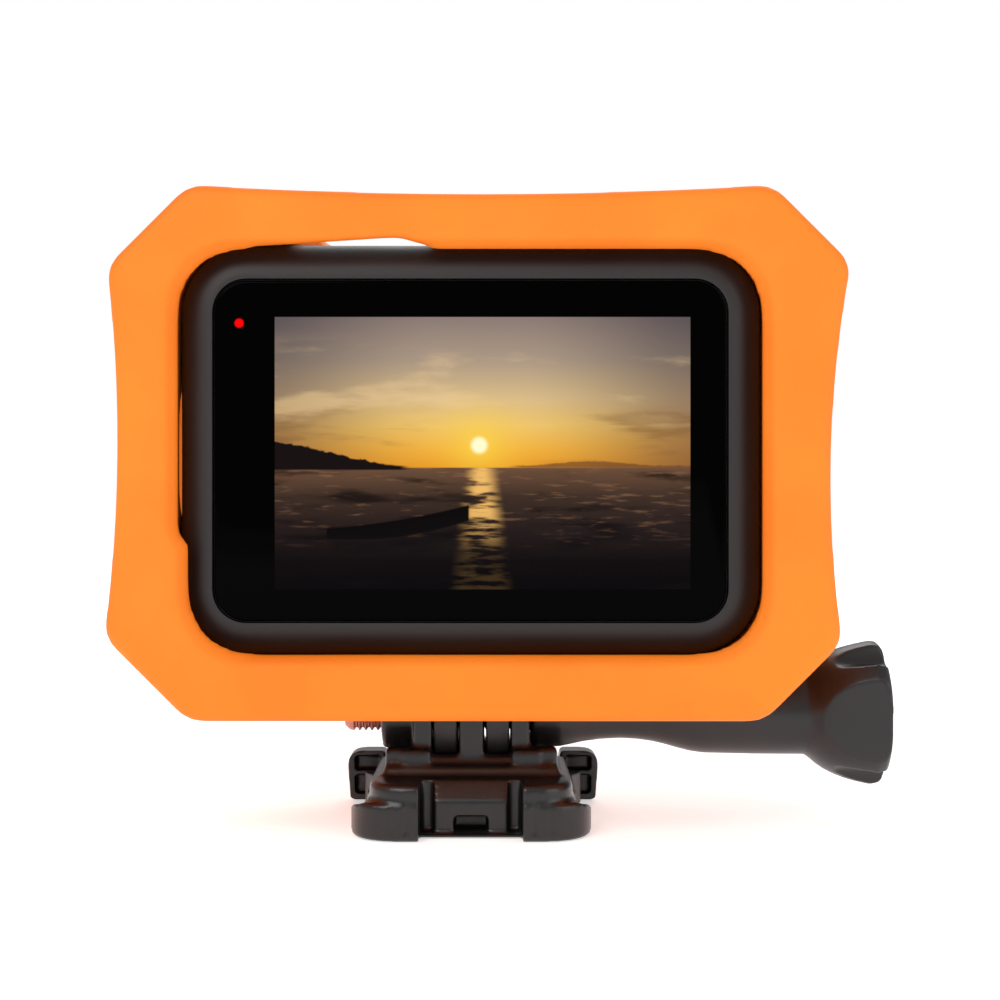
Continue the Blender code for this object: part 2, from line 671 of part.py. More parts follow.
def build_door():
    outer = rounded_rectangle(DOOR_LOW, DOOR_HIGH, 2.0 * MM, 3)
    plate("side_door", outer, "X", BODY_HALF - DOOR_THICKNESS, BODY_HALF)
    rim = Vector((DOOR_LEDGE + GAP, DOOR_LEDGE + GAP))
    seal_outer = rounded_rectangle(DOOR_LOW + rim, DOOR_HIGH - rim, 1.0 * MM, 3)
    seal_top = BODY_HALF - DOOR_THICKNESS - GAP
    seal = plate("door_seal", seal_outer, "X", seal_top - 0.8 * MM, seal_top)
    width = Vector((0.9, 0.9)) * MM
    seal_inner = rounded_rectangle(DOOR_LOW + rim + width, DOOR_HIGH - rim - width, 0.5 * MM, 3)
    cut(seal, plate("seal_hole", seal_inner, "X", seal_top - 2 * MM, seal_top + OVERCUT))


# ---------------------------------------------------------------- buttons
def build_buttons():
    lip_top = CAVITY_TOP - GAP
    lip_low = lip_top - 0.6 * MM
    lip = SHUTTER_RADIUS + BUTTON_LIP
    profile = [
        (0, BODY_TOP + BUTTON_PROUD), (SHUTTER_RADIUS - 0.5 * MM, BODY_TOP + BUTTON_PROUD),
        (SHUTTER_RADIUS, BODY_TOP), (SHUTTER_RADIUS, lip_top), (lip, lip_top), (lip, lip_low), (0, lip_low),
    ]
    turned("shutter_button", profile, "Z", Vector((SHUTTER_MID.x, SHUTTER_MID.y, 0)))
    rest = lip_low - SHUTTER_TRAVEL - GAP
    half = 3.0 * MM
    low = Vector((SHUTTER_MID.x - half, SHUTTER_MID.y - half, rest - 2.0 * MM))
    box("shutter_switch", low, Vector((SHUTTER_MID.x + half, SHUTTER_MID.y + half, rest)))

    head = centred_rectangle(MODE_MID, MODE_WIDTH, MODE_HEIGHT, MODE_WIDTH / 2)
    lip_face = -CAVITY_HALF + GAP
    lip_back = lip_face + 0.6 * MM
    button = plate("mode_button", head, "X", -BODY_HALF - BUTTON_PROUD, lip_back)
    widened = MODE_WIDTH + 2 * BUTTON_LIP
    ridge = centred_rectangle(MODE_MID, widened, MODE_HEIGHT + 2 * BUTTON_LIP, widened / 2)
    fuse(button, plate("mode_lip", ridge, "X", lip_face, lip_back))
    rest = lip_back + MODE_TRAVEL + GAP
    low = Vector((rest, MODE_MID.x - 2.4 * MM, MODE_MID.y - 3 * MM))
    box("mode_switch", low, Vector((rest + 2.2 * MM, MODE_MID.x + 2.4 * MM, MODE_MID.y + 3 * MM)))


# ---------------------------------------------------------------- folding fingers
def build_fingers():
    stem_top = BODY_BOTTOM + FINGER_ROOM_DEPTH - 0.6 * MM
    for name, side in (("left_finger", -1), ("right_finger", 1)):
        low = side * FINGER_MID - FINGER_THICKNESS / 2
        high = side * FINGER_MID + FINGER_THICKNESS / 2
        finger = rod(name, "X", AXIS, FINGER_RADIUS, low, high, 40)
        stem = rounded_rectangle((-FINGER_STEM, AXIS_HEIGHT), (FINGER_STEM, stem_top), 1.0 * MM, 3)
        fuse(finger, plate("stem", stem, "X", low, high))
        cut(finger, rod("finger_bore", "X", AXIS, BOLT_BORE, low - OVERCUT, high + OVERCUT))
        pin = Vector((side * FINGER_MID, 0, FINGER_PIN_Z))
        reach = FINGER_PIN_REACH
        cut(finger, rod("finger_pin_hole", "Y", pin, FINGER_PIN_RADIUS + RUNNING_FIT, -reach, reach, 16))
        rod(f"{name}_pin", "Y", pin, FINGER_PIN_RADIUS, -reach, reach, 12)


# ---------------------------------------------------------------- foam float
def float_outline():
    """Eight corners: each side's first number is its lower corner, its second the upper."""
    step = FLOAT_CHAMFER
    corners = [
        (FLOAT_LEFT[0] + step, FLOAT_BOTTOM), (FLOAT_RIGHT[0] - step, FLOAT_BOTTOM),
        (FLOAT_RIGHT[0], FLOAT_BOTTOM + step), (FLOAT_RIGHT[1], FLOAT_TOP - step),
        (FLOAT_RIGHT[1] - step, FLOAT_TOP), (FLOAT_LEFT[1] + step, FLOAT_TOP),
        (FLOAT_LEFT[1], FLOAT_TOP - step), (FLOAT_LEFT[0], FLOAT_BOTTOM + step),
    ]
    sags = {2: FLOAT_RIGHT_SAG, 4: FLOAT_TOP_SAG, 6: FLOAT_LEFT_SAG}
    points = []
    radii = []
    for index, corner in enumerate(corners):
        points.append(corner)
        radii.append(FLOAT_CORNER)
        if index in sags:
            bow = bowed_line(corner, corners[(index + 1) % len(corners)], sags[index])
            points.extend(bow)
            radii.extend([0] * len(bow))
    return fillet(points, radii)


def rear_window_outline():
    left = -BODY_HALF + WINDOW_LAP
    right = BODY_HALF - WINDOW_LAP
    low_left = -BODY_HALF + WINDOW_LOW_LAP
    bottom = BODY_BOTTOM + WINDOW_LAP
    top = BODY_TOP - WINDOW_TOP_LAP
    slant_top = MODE_OPENING_LOW.y - 1.0 * MM
    points = [
        (low_left, bottom), (right, bottom), (right, top), (left, top), (left, slant_top),
        (low_left, slant_top - 2.0 * MM),
    ]
    radii = [WINDOW_CORNER] * 4 + [0, 0]
    return fillet(points, radii, 8)


def build_float():
    outline = float_outline()
    foam = plate("float_frame", outline, "Y", FLOAT_BACK, FLOAT_FRONT)
    round_end(foam, "Y", FLOAT_BACK, FLOAT_ROUND, 3)
    round_end(foam, "Y", FLOAT_FRONT, FLOAT_ROUND, 3)
    pocket = body_outline(-GAP)
    cut(foam, plate("pocket", pocket, "Y", BODY_BACK - GAP, BODY_FRONT + GAP))
    cut(foam, plate("rear_opening", rear_window_outline(), "Y", FLOAT_BACK - OVERCUT, 0))
    front_low = Vector((-BODY_HALF + FRONT_WINDOW_LAP, BODY_BOTTOM + FRONT_WINDOW_LAP))
    front_high = Vector((BODY_HALF - FRONT_WINDOW_LAP, BODY_TOP - FRONT_WINDOW_LAP))
    front_outline = rounded_rectangle(front_low, front_high, 6 * MM, 6)
    front = plate("front_opening", front_outline, "Y", 5 * MM, FLOAT_FRONT + OVERCUT)
    taper(front, FLOAT_FRONT, FRONT_WINDOW_FLARE, (0, BODY_MID_Z))
    cut(foam, front)
    cut_float_openings(foam)
    cut_mount_slot(foam)
    return foam


def cut_float_openings(foam):
    opening = rounded_rectangle(SHUTTER_OPENING_LOW, SHUTTER_OPENING_HIGH, 3.0 * MM, 4)
    cut(foam, plate("shutter_opening", opening, "Z", BODY_TOP - OVERCUT, FLOAT_TOP + OVERCUT))
    lip = BODY_TOP - WINDOW_TOP_LAP
    notch = [
        (-28.0 * MM, lip - 2 * MM), (-27.0 * MM, lip), (-10.2 * MM, lip + 1.1 * MM),
        (-8.4 * MM, lip + 1.1 * MM), (-4.6 * MM, lip), (-4.0 * MM, lip - 2 * MM),
    ]
    sight = Vector((0, FLOAT_BACK, lip))
    groove = plate("notch", notch, "Y", FLOAT_BACK - OVERCUT, BODY_BACK + 2.4 * MM)
    cut(foam, tilt(groove, sight, SIGHT_SLOPE))
    scoop = rounded_rectangle(
        (SHUTTER_OPENING_LOW.x, lip), (SHUTTER_OPENING_HIGH.x, FLOAT_TOP), 2.0 * MM, 3
    )
    start = SHUTTER_OPENING_HIGH.y - 4.0 * MM
    cut(foam, tilt(plate("scoop", scoop, "Y", start, FLOAT_FRONT + 3 * MM), sight, SIGHT_SLOPE))
    side = rounded_rectangle(MODE_OPENING_LOW, MODE_OPENING_HIGH, 4.0 * MM, 5)
    cut(foam, plate("mode_opening", side, "X", FLOAT_LEFT[0] - OVERCUT, -BODY_HALF + OVERCUT))


def cut_mount_slot(foam):
    low = Vector((MOUNT_SLOT_LEFT, -MOUNT_SLOT_HALF))
    high = Vector((MOUNT_SLOT_RIGHT, MOUNT_SLOT_HALF))
    slot_outline = rounded_rectangle(low, high, 3 * MM, 4)
    slot = plate("mount_slot", slot_outline, "Z", FLOAT_BOTTOM - OVERCUT, BODY_BOTTOM + GAP)
    channel = rod(
        "sleeve_channel", "X", AXIS, SLEEVE_RADIUS + SLEEVE_CHANNEL_ROOM, MOUNT_SLOT_RIGHT - 2 * MM,
        FLOAT_RIGHT[1] + OVERCUT, 40,
    )
    cut(foam, slot, channel)


# ---------------------------------------------------------------- buckle
def prong_outline():
    foot = DECK_HEIGHT - 2 * MM
    reach = PRONG_RADIUS
    return [(-reach, foot), (reach, foot)] + arc((0, AXIS_HEIGHT), reach, 0, 180, 20)


def build_buckle():
    rails = fillet(
        [(-RAIL_HALF, NOSE_Y), (RAIL_HALF, NOSE_Y), (RAIL_HALF, PLATE_END_Y), (-RAIL_HALF, PLATE_END_Y)],
        [NOSE_CORNER, NOSE_CORNER, 0, 0], 7,
    )
    base = plate("buckle_base", rails, "Z", 0, RAIL_HEIGHT)
    front = NOSE_Y + 0.2 * MM
    deck_outline = fillet(
        [(-DECK_HALF, front), (DECK_HALF, front), (DECK_HALF, DECK_END_Y), (-DECK_HALF, DECK_END_Y)],
        [NOSE_CORNER, NOSE_CORNER, 1.2 * MM, 1.2 * MM], 7,
    )
    deck = plate("deck", deck_outline, "Z", RAIL_HEIGHT - OVERCUT, DECK_HEIGHT)
    fuse(base, round_end(deck, "Z", DECK_HEIGHT, 0.7 * MM, 2))
    room_top = RAIL_HEIGHT + GAP
    for side in (-1, 1):
        low, high = sorted((side * PLATE_HALF, side * (RAIL_HALF + OVERCUT)))
        arm_low = Vector((low, NOSE_END_Y, -OVERCUT))
        cut(base, box("arm_room", arm_low, Vector((high, PLATE_END_Y + OVERCUT, room_top))))
    add_pedestal(base)
    cut_nose(base)
    for side in (-1, 1):
        pivot = Vector((side * ARM_PIVOT.x, ARM_PIVOT.y, 0))
        socket_top = RAIL_HEIGHT + RUNNING_FIT
        cut(base, rod("arm_socket", "Z", pivot, ARM_KNUCKLE + GAP, -OVERCUT, socket_top, 20))
    return base


def add_pedestal(base):
    slope = PEDESTAL_TOP - PEDESTAL_STEP
    skirt = box(
        "skirt", Vector((-PEDESTAL_HALF, SKIRT_FRONT_Y, DECK_HEIGHT - 2 * OVERCUT)),
        Vector((PEDESTAL_HALF, PEDESTAL_DEPTH, slope)),
    )
    round_edges(skirt, PEDESTAL_EDGE, 2)
    inner = PEDESTAL_HALF - PEDESTAL_INSET
    reach = PEDESTAL_DEPTH + 0.4 * MM
    block = box(
        "pedestal", Vector((-inner, -reach, DECK_HEIGHT - OVERCUT)), Vector((inner, reach, PEDESTAL_TOP))
    )
    fuse(base, skirt, round_edges(block, PEDESTAL_EDGE / 2, 1))
    for side in (-1, 1):
        for end in (-1, 1):
            low, high = sorted((side * SHOULDER_LOW.x, side * SHOULDER_HIGH.x))
            near, far = sorted((end * SHOULDER_LOW.y, end * SHOULDER_HIGH.y))
            top = Vector((high, far, SHOULDER_HIGH.z))
            shoulder = box("shoulder", Vector((low, near, SHOULDER_LOW.z)), top)
            fuse(base, round_edges(shoulder, SHOULDER_EDGE, 1))
    add_prongs(base)


def add_prongs(base):
    inner_face = PRONG_CENTRE / 2 + PRONG_SPACE
    for side in (-1, 1):
        near = PRONG_CENTRE / 2 + TROUGH_STEP
        low, high = sorted((side * near, side * (inner_face - TROUGH_STEP)))
        cut(base, rod("finger_trough", "X", AXIS, FINGER_RADIUS + FINGER_FLOOR_GAP, low, high, 40))
    spans = ((-PRONG_FACE, -inner_face), (-PRONG_CENTRE / 2, PRONG_CENTRE / 2), (inner_face, PRONG_FACE))
    for low, high in spans:
        fuse(base, plate("prong", prong_outline(), "X", low, high))
    boss_end = -PRONG_FACE - NUT_BOSS_LENGTH
    fuse(base, rod("nut_boss", "X", AXIS, NUT_BOSS_RADIUS, boss_end, -PRONG_FACE + 0.5 * MM))
    cut(base, rod("bolt_bore", "X", AXIS, BOLT_BORE, boss_end - OVERCUT, PRONG_FACE + OVERCUT))
    pocket_radius = (NUT_FLATS / 2 + RUNNING_FIT) / math.cos(math.pi / 6)
    pocket_end = boss_end + NUT_THICKNESS + GAP
    cut(base, rod("nut_pocket", "X", AXIS, pocket_radius, boss_end - OVERCUT, pocket_end, 6))


def cut_nose(base):
    for side in (-1, 1):
        low, high = sorted((side * TONGUE_HALF, side * (TONGUE_HALF + TONGUE_SLOT)))
        slot_high = Vector((high, NOSE_Y + NOSE_SLOT_DEPTH, DECK_HEIGHT + OVERCUT))
        cut(base, box("nose_slot", Vector((low, NOSE_Y - OVERCUT, -OVERCUT)), slot_high))
    step = TONGUE_HALF + TONGUE_SLOT / 2
    face_high = Vector((step, NOSE_Y + TONGUE_SET_BACK, DECK_HEIGHT + OVERCUT))
    cut(base, box("tongue_face", Vector((-step, NOSE_Y - OVERCUT, -OVERCUT)), face_high))
    bevel = [
        (NOSE_Y, DECK_HEIGHT - 2.5 * MM), (NOSE_Y + TONGUE_SET_BACK, DECK_HEIGHT - 2.4 * MM),
        (NOSE_Y + TONGUE_SET_BACK + 1.8 * MM, DECK_HEIGHT + 0.1 * MM), (NOSE_Y, DECK_HEIGHT + 1 * MM),
    ]
    cut(base, plate("tongue_bevel", bevel, "X", -TONGUE_HALF - 1.1 * MM, TONGUE_HALF + 1.1 * MM))
    cut(base, box("nose_window", NOSE_WINDOW_LOW, NOSE_WINDOW_HIGH))


def build_nut():
    radius = NUT_FLATS / 2 / math.cos(math.pi / 6)
    start = -PRONG_FACE - NUT_BOSS_LENGTH
    end = start + NUT_THICKNESS
    nut = rod("captive_nut", "X", AXIS, radius, start, end, 6)
    cut(nut, rod("nut_bore", "X", AXIS, BOLT_RADIUS + RUNNING_FIT, start - OVERCUT, end + OVERCUT))


def tab_outline(side):
    """A tab seen from the nose: a plate that leans out a little, round at its top outer corner."""
    points = [
        (ARM_INNER, ARM_LOW), (TAB_HALF - TAB_LEAN, ARM_LOW), (TAB_HALF, TAB_TOP), (TAB_INNER, TAB_TOP),
    ]
    rounded = fillet(points, [0.3 * MM, 0.6 * MM, TAB_ROUND, TAB_LEAN])
    return [(side * x, z) for x, z in rounded]


def build_arms():
    for name, side in (("left_spring_arm", -1), ("right_spring_arm", 1)):
        pivot = Vector((side * ARM_PIVOT.x, ARM_PIVOT.y, 0))
        high = ARM_LOW + ARM_HEIGHT
        arm = rod(name, "Z", pivot, ARM_KNUCKLE, ARM_LOW, high, 20)
        near, far = sorted((side * (ARM_PIVOT.x - ARM_NECK), side * (ARM_PIVOT.x + ARM_NECK)))
        neck_high = Vector((far, NOSE_END_Y + 2 * ARM_NECK, high))
        fuse(arm, box("neck", Vector((near, ARM_PIVOT.y, ARM_LOW)), neck_high))
        barb = ARM_OUTER + ARM_BARB
        start = NOSE_END_Y + 0.4 * MM
        blade = [
            (ARM_INNER, start), (ARM_OUTER, start), (ARM_OUTER, 5.0 * MM), (barb, ARM_BARB_Y),
            (barb, ARM_BARB_END_Y), (ARM_OUTER, ARM_BARB_END_Y), (ARM_OUTER, TAB_Y + 1 * MM),
            (ARM_INNER, TAB_Y + 1 * MM),
        ]
        fuse(arm, plate("blade", [(side * x, y) for x, y in blade], "Z", ARM_LOW, high))
        fuse(arm, plate("tab", tab_outline(side), "Y", TAB_Y, TAB_Y + TAB_DEPTH))


# ---------------------------------------------------------------- thumbscrew
def build_thumbscrew():
    start = PRONG_FACE + GAP
    profile = [
        (0, KNOB_END_X), (KNOB_RADIUS - 1.1 * MM, KNOB_END_X),
        (KNOB_RADIUS - 0.3 * MM, KNOB_END_X - 0.6 * MM),
        (KNOB_RADIUS, KNOB_END_X - 1.6 * MM), (9.1 * MM, 50.4 * MM), (8.2 * MM, 47.7 * MM),
        (6.8 * MM, 45.3 * MM), (SLEEVE_RADIUS, KNOB_START_X), (SLEEVE_RADIUS - 0.2 * MM, 30.4 * MM),
        (4.7 * MM, 26.9 * MM), (3.9 * MM, 23.8 * MM), (3.5 * MM, 19.6 * MM), (3.9 * MM, 14.7 * MM),
        (4.6 * MM, 11.4 * MM), (4.6 * MM, start), (0, start),
    ]
    knob = turned("thumbscrew_knob", profile, "X", AXIS, 48)
    for lobe in range(3):
        middle = KNOB_LOBE_TURN + math.radians(120 * lobe)
        groove = middle + math.radians(60)
        centre = AXIS + Vector((0, -math.cos(groove), math.sin(groove))) * (KNOB_RADIUS + 0.4 * MM)
        cut(knob, rod("groove", "X", centre, KNOB_GROOVE, 46.5 * MM, KNOB_END_X + OVERCUT, 24))
        flat = box(
            "flat", Vector((KNOB_START_X - OVERCUT, -8 * MM, KNOB_FLAT)),
            Vector((KNOB_END_X + 4 * MM, 8 * MM, KNOB_FLAT + 5 * MM)),
        )
        hinge = Matrix.Translation((KNOB_END_X, 0, KNOB_FLAT))
        flat.data.transform(hinge @ Matrix.Rotation(-KNOB_FLAT_SLOPE, 4, "Y") @ hinge.inverted())
        flat.data.transform(Matrix.Translation(AXIS) @ Matrix.Rotation(math.pi / 2 - middle, 4, "X"))
        cut(knob, flat)
    cut(knob, rod("bolt_seat", "X", AXIS, BOLT_RADIUS + RUNNING_FIT, start - OVERCUT, BOLT_END_X + GAP))
    tip = BOLT_TIP_X
    bolt = [
        (0, BOLT_END_X), (BOLT_RADIUS, BOLT_END_X), (BOLT_RADIUS, tip + 0.6 * MM),
        (BOLT_RADIUS - 0.5 * MM, tip), (0, tip),
    ]
    turned("thumbscrew_bolt", bolt, "X", AXIS)


# ---------------------------------------------------------------- finishes and bodies
def finish(colour, roughness, metallic, *names):
    for name in names:
        material = bpy.data.materials.new(name)
        material.use_nodes = True
        shader = material.node_tree.nodes["Principled BSDF"]
        shader.inputs["Base Color"].default_value = (*colour, 1.0)
        shader.inputs["Roughness"].default_value = roughness
        shader.inputs["Metallic"].default_value = metallic
        bpy.data.objects[name].data.materials.clear()
        bpy.data.objects[name].data.materials.append(material)


def add_finishes():
    finish((1.0, 0.28, 0.03), 0.7, 0.0, "float_frame")
    finish((0.035, 0.033, 0.033), 0.6, 0.0, "front_housing", "rear_housing", "side_door")
    finish((0.035, 0.033, 0.033), 0.6, 0.0, "left_finger", "right_finger")
    finish((0.004, 0.004, 0.004), 0.05, 0.0, "rear_glass", "front_glass", "lens_cover_glass")
    finish((0.30, 0.20, 0.12), 0.3, 0.0, "rear_display", "front_display")
    finish((0.9, 0.02, 0.02), 0.3, 0.0, "rear_status_light", "front_status_light")
    finish((0.02, 0.02, 0.022), 0.45, 0.0, "lens_cover", "lens_barrel", "shutter_button", "mode_button")
    finish((0.05, 0.06, 0.08), 0.02, 0.0, "front_lens", "rear_lens")
    finish((0.03, 0.12, 0.06), 0.5, 0.0, "main_board", "image_sensor")
    finish((0.75, 0.42, 0.28), 0.35, 1.0, "heat_spreader")
    finish((0.16, 0.17, 0.19), 0.5, 0.0, "battery", "memory_card", "speaker", "front_microphone")
    finish((0.02, 0.02, 0.02), 0.8, 0.0, "door_seal", "shutter_switch", "mode_switch")
    finish((0.6, 0.6, 0.6), 0.3, 1.0, "usb_socket", "captive_nut", "thumbscrew_bolt")
    finish((0.55, 0.55, 0.55), 0.3, 1.0, "left_finger_pin", "right_finger_pin")
    finish((0.55, 0.55, 0.55), 0.3, 1.0, *[f"housing_screw_{number}" for number in range(1, 5)])
    finish((0.045, 0.043, 0.043), 0.28, 0.0, "buckle_base", "left_spring_arm", "right_spring_arm")
    finish((0.04, 0.036, 0.036), 0.45, 0.0, "thumbscrew_knob")


def hang_on_axis(name, place, members):
    """Put the pieces of a moving body under an empty on its joint's axis, where they already are."""
    axis = bpy.data.objects.new(name, None)
    parts.objects.link(axis)
    axis.location = place
    for member in members:
        item = bpy.data.objects[member]
        item.parent = axis
        item.matrix_parent_inverse = Matrix.Translation(-Vector(place))
    return axis


def place_bodies():
    lens = Vector((LENS_MID.x, BODY_FRONT, LENS_MID.y))
    hang_on_axis("lens_cover_axis", lens, ["lens_cover", "lens_cover_glass"])
    hang_on_axis("shutter_axis", Vector((SHUTTER_MID.x, SHUTTER_MID.y, BODY_TOP)), ["shutter_button"])
    hang_on_axis("mode_axis", Vector((-BODY_HALF, MODE_MID.x, MODE_MID.y)), ["mode_button"])
    hang_on_axis("thumbscrew_axis", AXIS, ["thumbscrew_knob", "thumbscrew_bolt"])
    hang_on_axis("left_arm_axis", Vector((-ARM_PIVOT.x, ARM_PIVOT.y, 0)), ["left_spring_arm"])
    hang_on_axis("right_arm_axis", Vector((ARM_PIVOT.x, ARM_PIVOT.y, 0)), ["right_spring_arm"])
    elsewhere = {"buckle_base", "captive_nut"}
    head = [
        item.name for item in parts.objects
        if item.type == "MESH" and item.parent is None and item.name not in elsewhere
    ]
    hang_on_axis("camera_tilt_axis", AXIS, head)


clear_scene()
parts = new_collection("action_camera")
cutters = new_collection("cutters")
build_front_housing()
build_rear_housing()
build_screws()
build_screens()
build_lens()
build_inside()
build_door()
build_buttons()
build_fingers()
build_float()
build_buckle()
build_nut()
build_arms()
build_thumbscrew()
add_finishes()
place_bodies()
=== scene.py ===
import math

import bmesh
import bpy
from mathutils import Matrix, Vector


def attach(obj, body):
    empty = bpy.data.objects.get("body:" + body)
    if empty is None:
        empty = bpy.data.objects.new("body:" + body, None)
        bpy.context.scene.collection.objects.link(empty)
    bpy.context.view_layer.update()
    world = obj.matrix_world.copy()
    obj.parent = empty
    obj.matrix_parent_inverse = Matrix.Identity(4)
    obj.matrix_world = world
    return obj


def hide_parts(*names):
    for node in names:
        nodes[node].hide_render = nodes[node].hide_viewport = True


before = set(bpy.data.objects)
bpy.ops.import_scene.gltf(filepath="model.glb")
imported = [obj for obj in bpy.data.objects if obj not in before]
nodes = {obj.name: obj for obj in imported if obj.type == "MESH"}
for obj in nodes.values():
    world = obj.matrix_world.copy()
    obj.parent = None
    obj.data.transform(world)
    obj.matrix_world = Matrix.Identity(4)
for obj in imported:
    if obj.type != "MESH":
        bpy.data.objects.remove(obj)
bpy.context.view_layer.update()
mm = 0.001
print("frame loaded:", len(nodes), "solids")


# ---- modelling helpers: every number they take is in millimetres
def hold(piece):
    # Makes this the only picked object
    bpy.ops.object.select_all(action="DESELECT")
    piece.select_set(True)
    bpy.context.view_layer.objects.active = piece
    return piece


def pick(piece, kind, test):
    # Picks what passes the test, in edit mode
    bpy.ops.mesh.select_mode(type=kind)
    bpy.ops.mesh.select_all(action="DESELECT")
    mesh = bmesh.from_edit_mesh(piece.data)
    for item in {"VERT": mesh.verts, "EDGE": mesh.edges, "FACE": mesh.faces}[kind]:
        if test(item):
            item.select_set(True)
    bmesh.update_edit_mesh(piece.data)


def spot(axis, point, along):
    a, b = point
    return Vector({"X": (along, a, b), "Y": (a, along, b), "Z": (a, b, along)}[axis]) * mm


def walk(name, spots):
    # One point, extruded from spot to spot; leaves the piece in edit mode
    bpy.ops.object.select_all(action="DESELECT")
    bpy.ops.mesh.primitive_plane_add(size=mm)
    piece = bpy.context.object
    piece.name = name
    bpy.ops.object.mode_set(mode="EDIT")
    bpy.ops.mesh.select_mode(type="VERT")
    bpy.ops.mesh.select_all(action="SELECT")
    bpy.ops.mesh.merge(type="CENTER")
    bpy.ops.transform.translate(value=spots[0])
    for before, after in zip(spots, spots[1:]):
        bpy.ops.mesh.extrude_region_move(TRANSFORM_OT_translate={"value": after - before})
    bpy.ops.mesh.select_all(action="SELECT")
    return piece


def slab(name, outline, axis, start, end):
    # An outline filled and pulled out along an axis
    piece = walk(name, [spot(axis, point, start) for point in outline])
    bpy.ops.mesh.edge_face_add()
    bpy.ops.mesh.extrude_region_move(TRANSFORM_OT_translate={"value": spot(axis, (0, 0), end - start)})
    bpy.ops.mesh.select_all(action="SELECT")
    bpy.ops.mesh.normals_make_consistent(inside=False)
    bpy.ops.object.mode_set(mode="OBJECT")
    return piece


def turned(name, profile, axis, centre, steps=96):
    # A half section of (along, radius) points spun round an axis
    reach = {"X": (0, 1), "Y": (0, 1), "Z": (1, 0)}[axis]
    spots = []
    for along, radius in profile:
        spots.append(spot(axis, (centre[0] + reach[0] * radius, centre[1] + reach[1] * radius), along))
    piece = walk(name, spots)
    bpy.ops.mesh.spin(
        steps=steps, angle=math.tau, center=spot(axis, centre, 0), axis=spot(axis, (0, 0), 1000)
    )
    bpy.ops.mesh.select_all(action="SELECT")
    bpy.ops.mesh.remove_doubles(threshold=0.004 * mm)
    bpy.ops.mesh.normals_make_consistent(inside=False)
    bpy.ops.object.mode_set(mode="OBJECT")
    return piece


def rod(name, radius, axis, centre, start, end, steps=96):
    return turned(name, [(start, 0), (start, radius), (end, radius), (end, 0)], axis, centre, steps)


def block(name, low, high):
    middle = (Vector(low) + Vector(high)) / 2 * mm
    size = (Vector(high) - Vector(low)) * mm
    bpy.ops.object.select_all(action="DESELECT")
    bpy.ops.mesh.primitive_cube_add(size=1, location=middle, scale=size)
    piece = bpy.context.object
    piece.name = name
    bpy.ops.object.transform_apply(location=True, rotation=True, scale=True)
    return piece


def modify(piece, kind, **settings):
    modifier = hold(piece).modifiers.new(kind.title(), kind)
    for name, value in settings.items():
        setattr(modifier, name, value)
    bpy.ops.object.modifier_apply(modifier=modifier.name)
    return piece


def cut(piece, *tools, way="DIFFERENCE"):
    for tool in tools:
        modify(piece, "BOOLEAN", object=tool, operation=way, solver="EXACT")
        bpy.data.objects.remove(tool)
    return piece


def fuse(piece, *others):
    return cut(piece, *others, way="UNION")


def bevel(piece, width, segments=3, angle=30):
    return modify(
        piece, "BEVEL", width=width * mm, segments=segments, limit_method="ANGLE",
        angle_limit=math.radians(angle),
    )


def roundRim(piece, axis, place, width, segments=6):
    # Rounds the rim that lies in one plane across an axis
    index = "XYZ".index(axis)
    hold(piece)
    bpy.ops.object.mode_set(mode="EDIT")
    pick(piece, "EDGE", lambda edge: all(abs(v.co[index] - place * mm) < 0.01 * mm for v in edge.verts))
    bpy.ops.mesh.bevel(offset=width * mm, segments=segments, affect="EDGES")
    bpy.ops.object.mode_set(mode="OBJECT")
    return piece


def flare(piece, axis, place, factors, centre):
    # Widens or narrows one end of a piece
    index = "XYZ".index(axis)
    hold(piece)
    bpy.ops.object.mode_set(mode="EDIT")
    pick(piece, "VERT", lambda v: abs(v.co[index] - place * mm) < 0.01 * mm)
    bpy.ops.transform.resize(value=factors, center_override=Vector(centre) * mm)
    bpy.ops.object.mode_set(mode="OBJECT")
    return piece


def swing(piece, degrees, axis, centre):
    hold(piece)
    bpy.ops.object.mode_set(mode="EDIT")
    bpy.ops.mesh.select_all(action="SELECT")
    middle = Vector(centre) * mm
    bpy.ops.transform.rotate(value=math.radians(degrees), orient_axis=axis, center_override=middle)
    bpy.ops.object.mode_set(mode="OBJECT")
    return piece


def gather(piece, voxel, *others):
    # Overlapping solids become one even skin
    hold(piece)
    for other in others:
        other.select_set(True)
    if others:
        bpy.ops.object.join()
    return modify(piece, "REMESH", mode="VOXEL", voxel_size=voxel * mm)


def soften(piece, voxel, rounds, *others):
    # Moulded look: an even skin whose edges are all a little round
    return modify(gather(piece, voxel, *others), "SMOOTH", factor=0.5, iterations=rounds)


def ready(piece, material, slot, body, *replaced, angle=40):
    hold(piece)
    bpy.ops.object.shade_smooth_by_angle(angle=math.radians(angle))
    piece.data.materials.clear()
    piece.data.materials.append(material)
    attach(piece, body)
    if replaced:
        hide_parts(*replaced)
    return piece


# ---- outlines, as lists of points
def arc(centre, radius, start, end, steps):
    points = []
    for step in range(steps + 1):
        angle = math.radians(start + (end - start) * step / steps)
        points.append((centre[0] + radius * math.cos(angle), centre[1] + radius * math.sin(angle)))
    return points


def roundedBox(low, high, radius, steps=8):
    (left, bottom), (right, top) = low, high
    return (
        arc((right - radius, top - radius), radius, 0, 90, steps)
        + arc((left + radius, top - radius), radius, 90, 180, steps)
        + arc((left + radius, bottom + radius), radius, 180, 270, steps)
        + arc((right - radius, bottom + radius), radius, 270, 360, steps)
    )


def roundedAt(middle, width, height, radius, steps=8):
    low = (middle[0] - width / 2, middle[1] - height / 2)
    return roundedBox(low, (middle[0] + width / 2, middle[1] + height / 2), radius, steps)


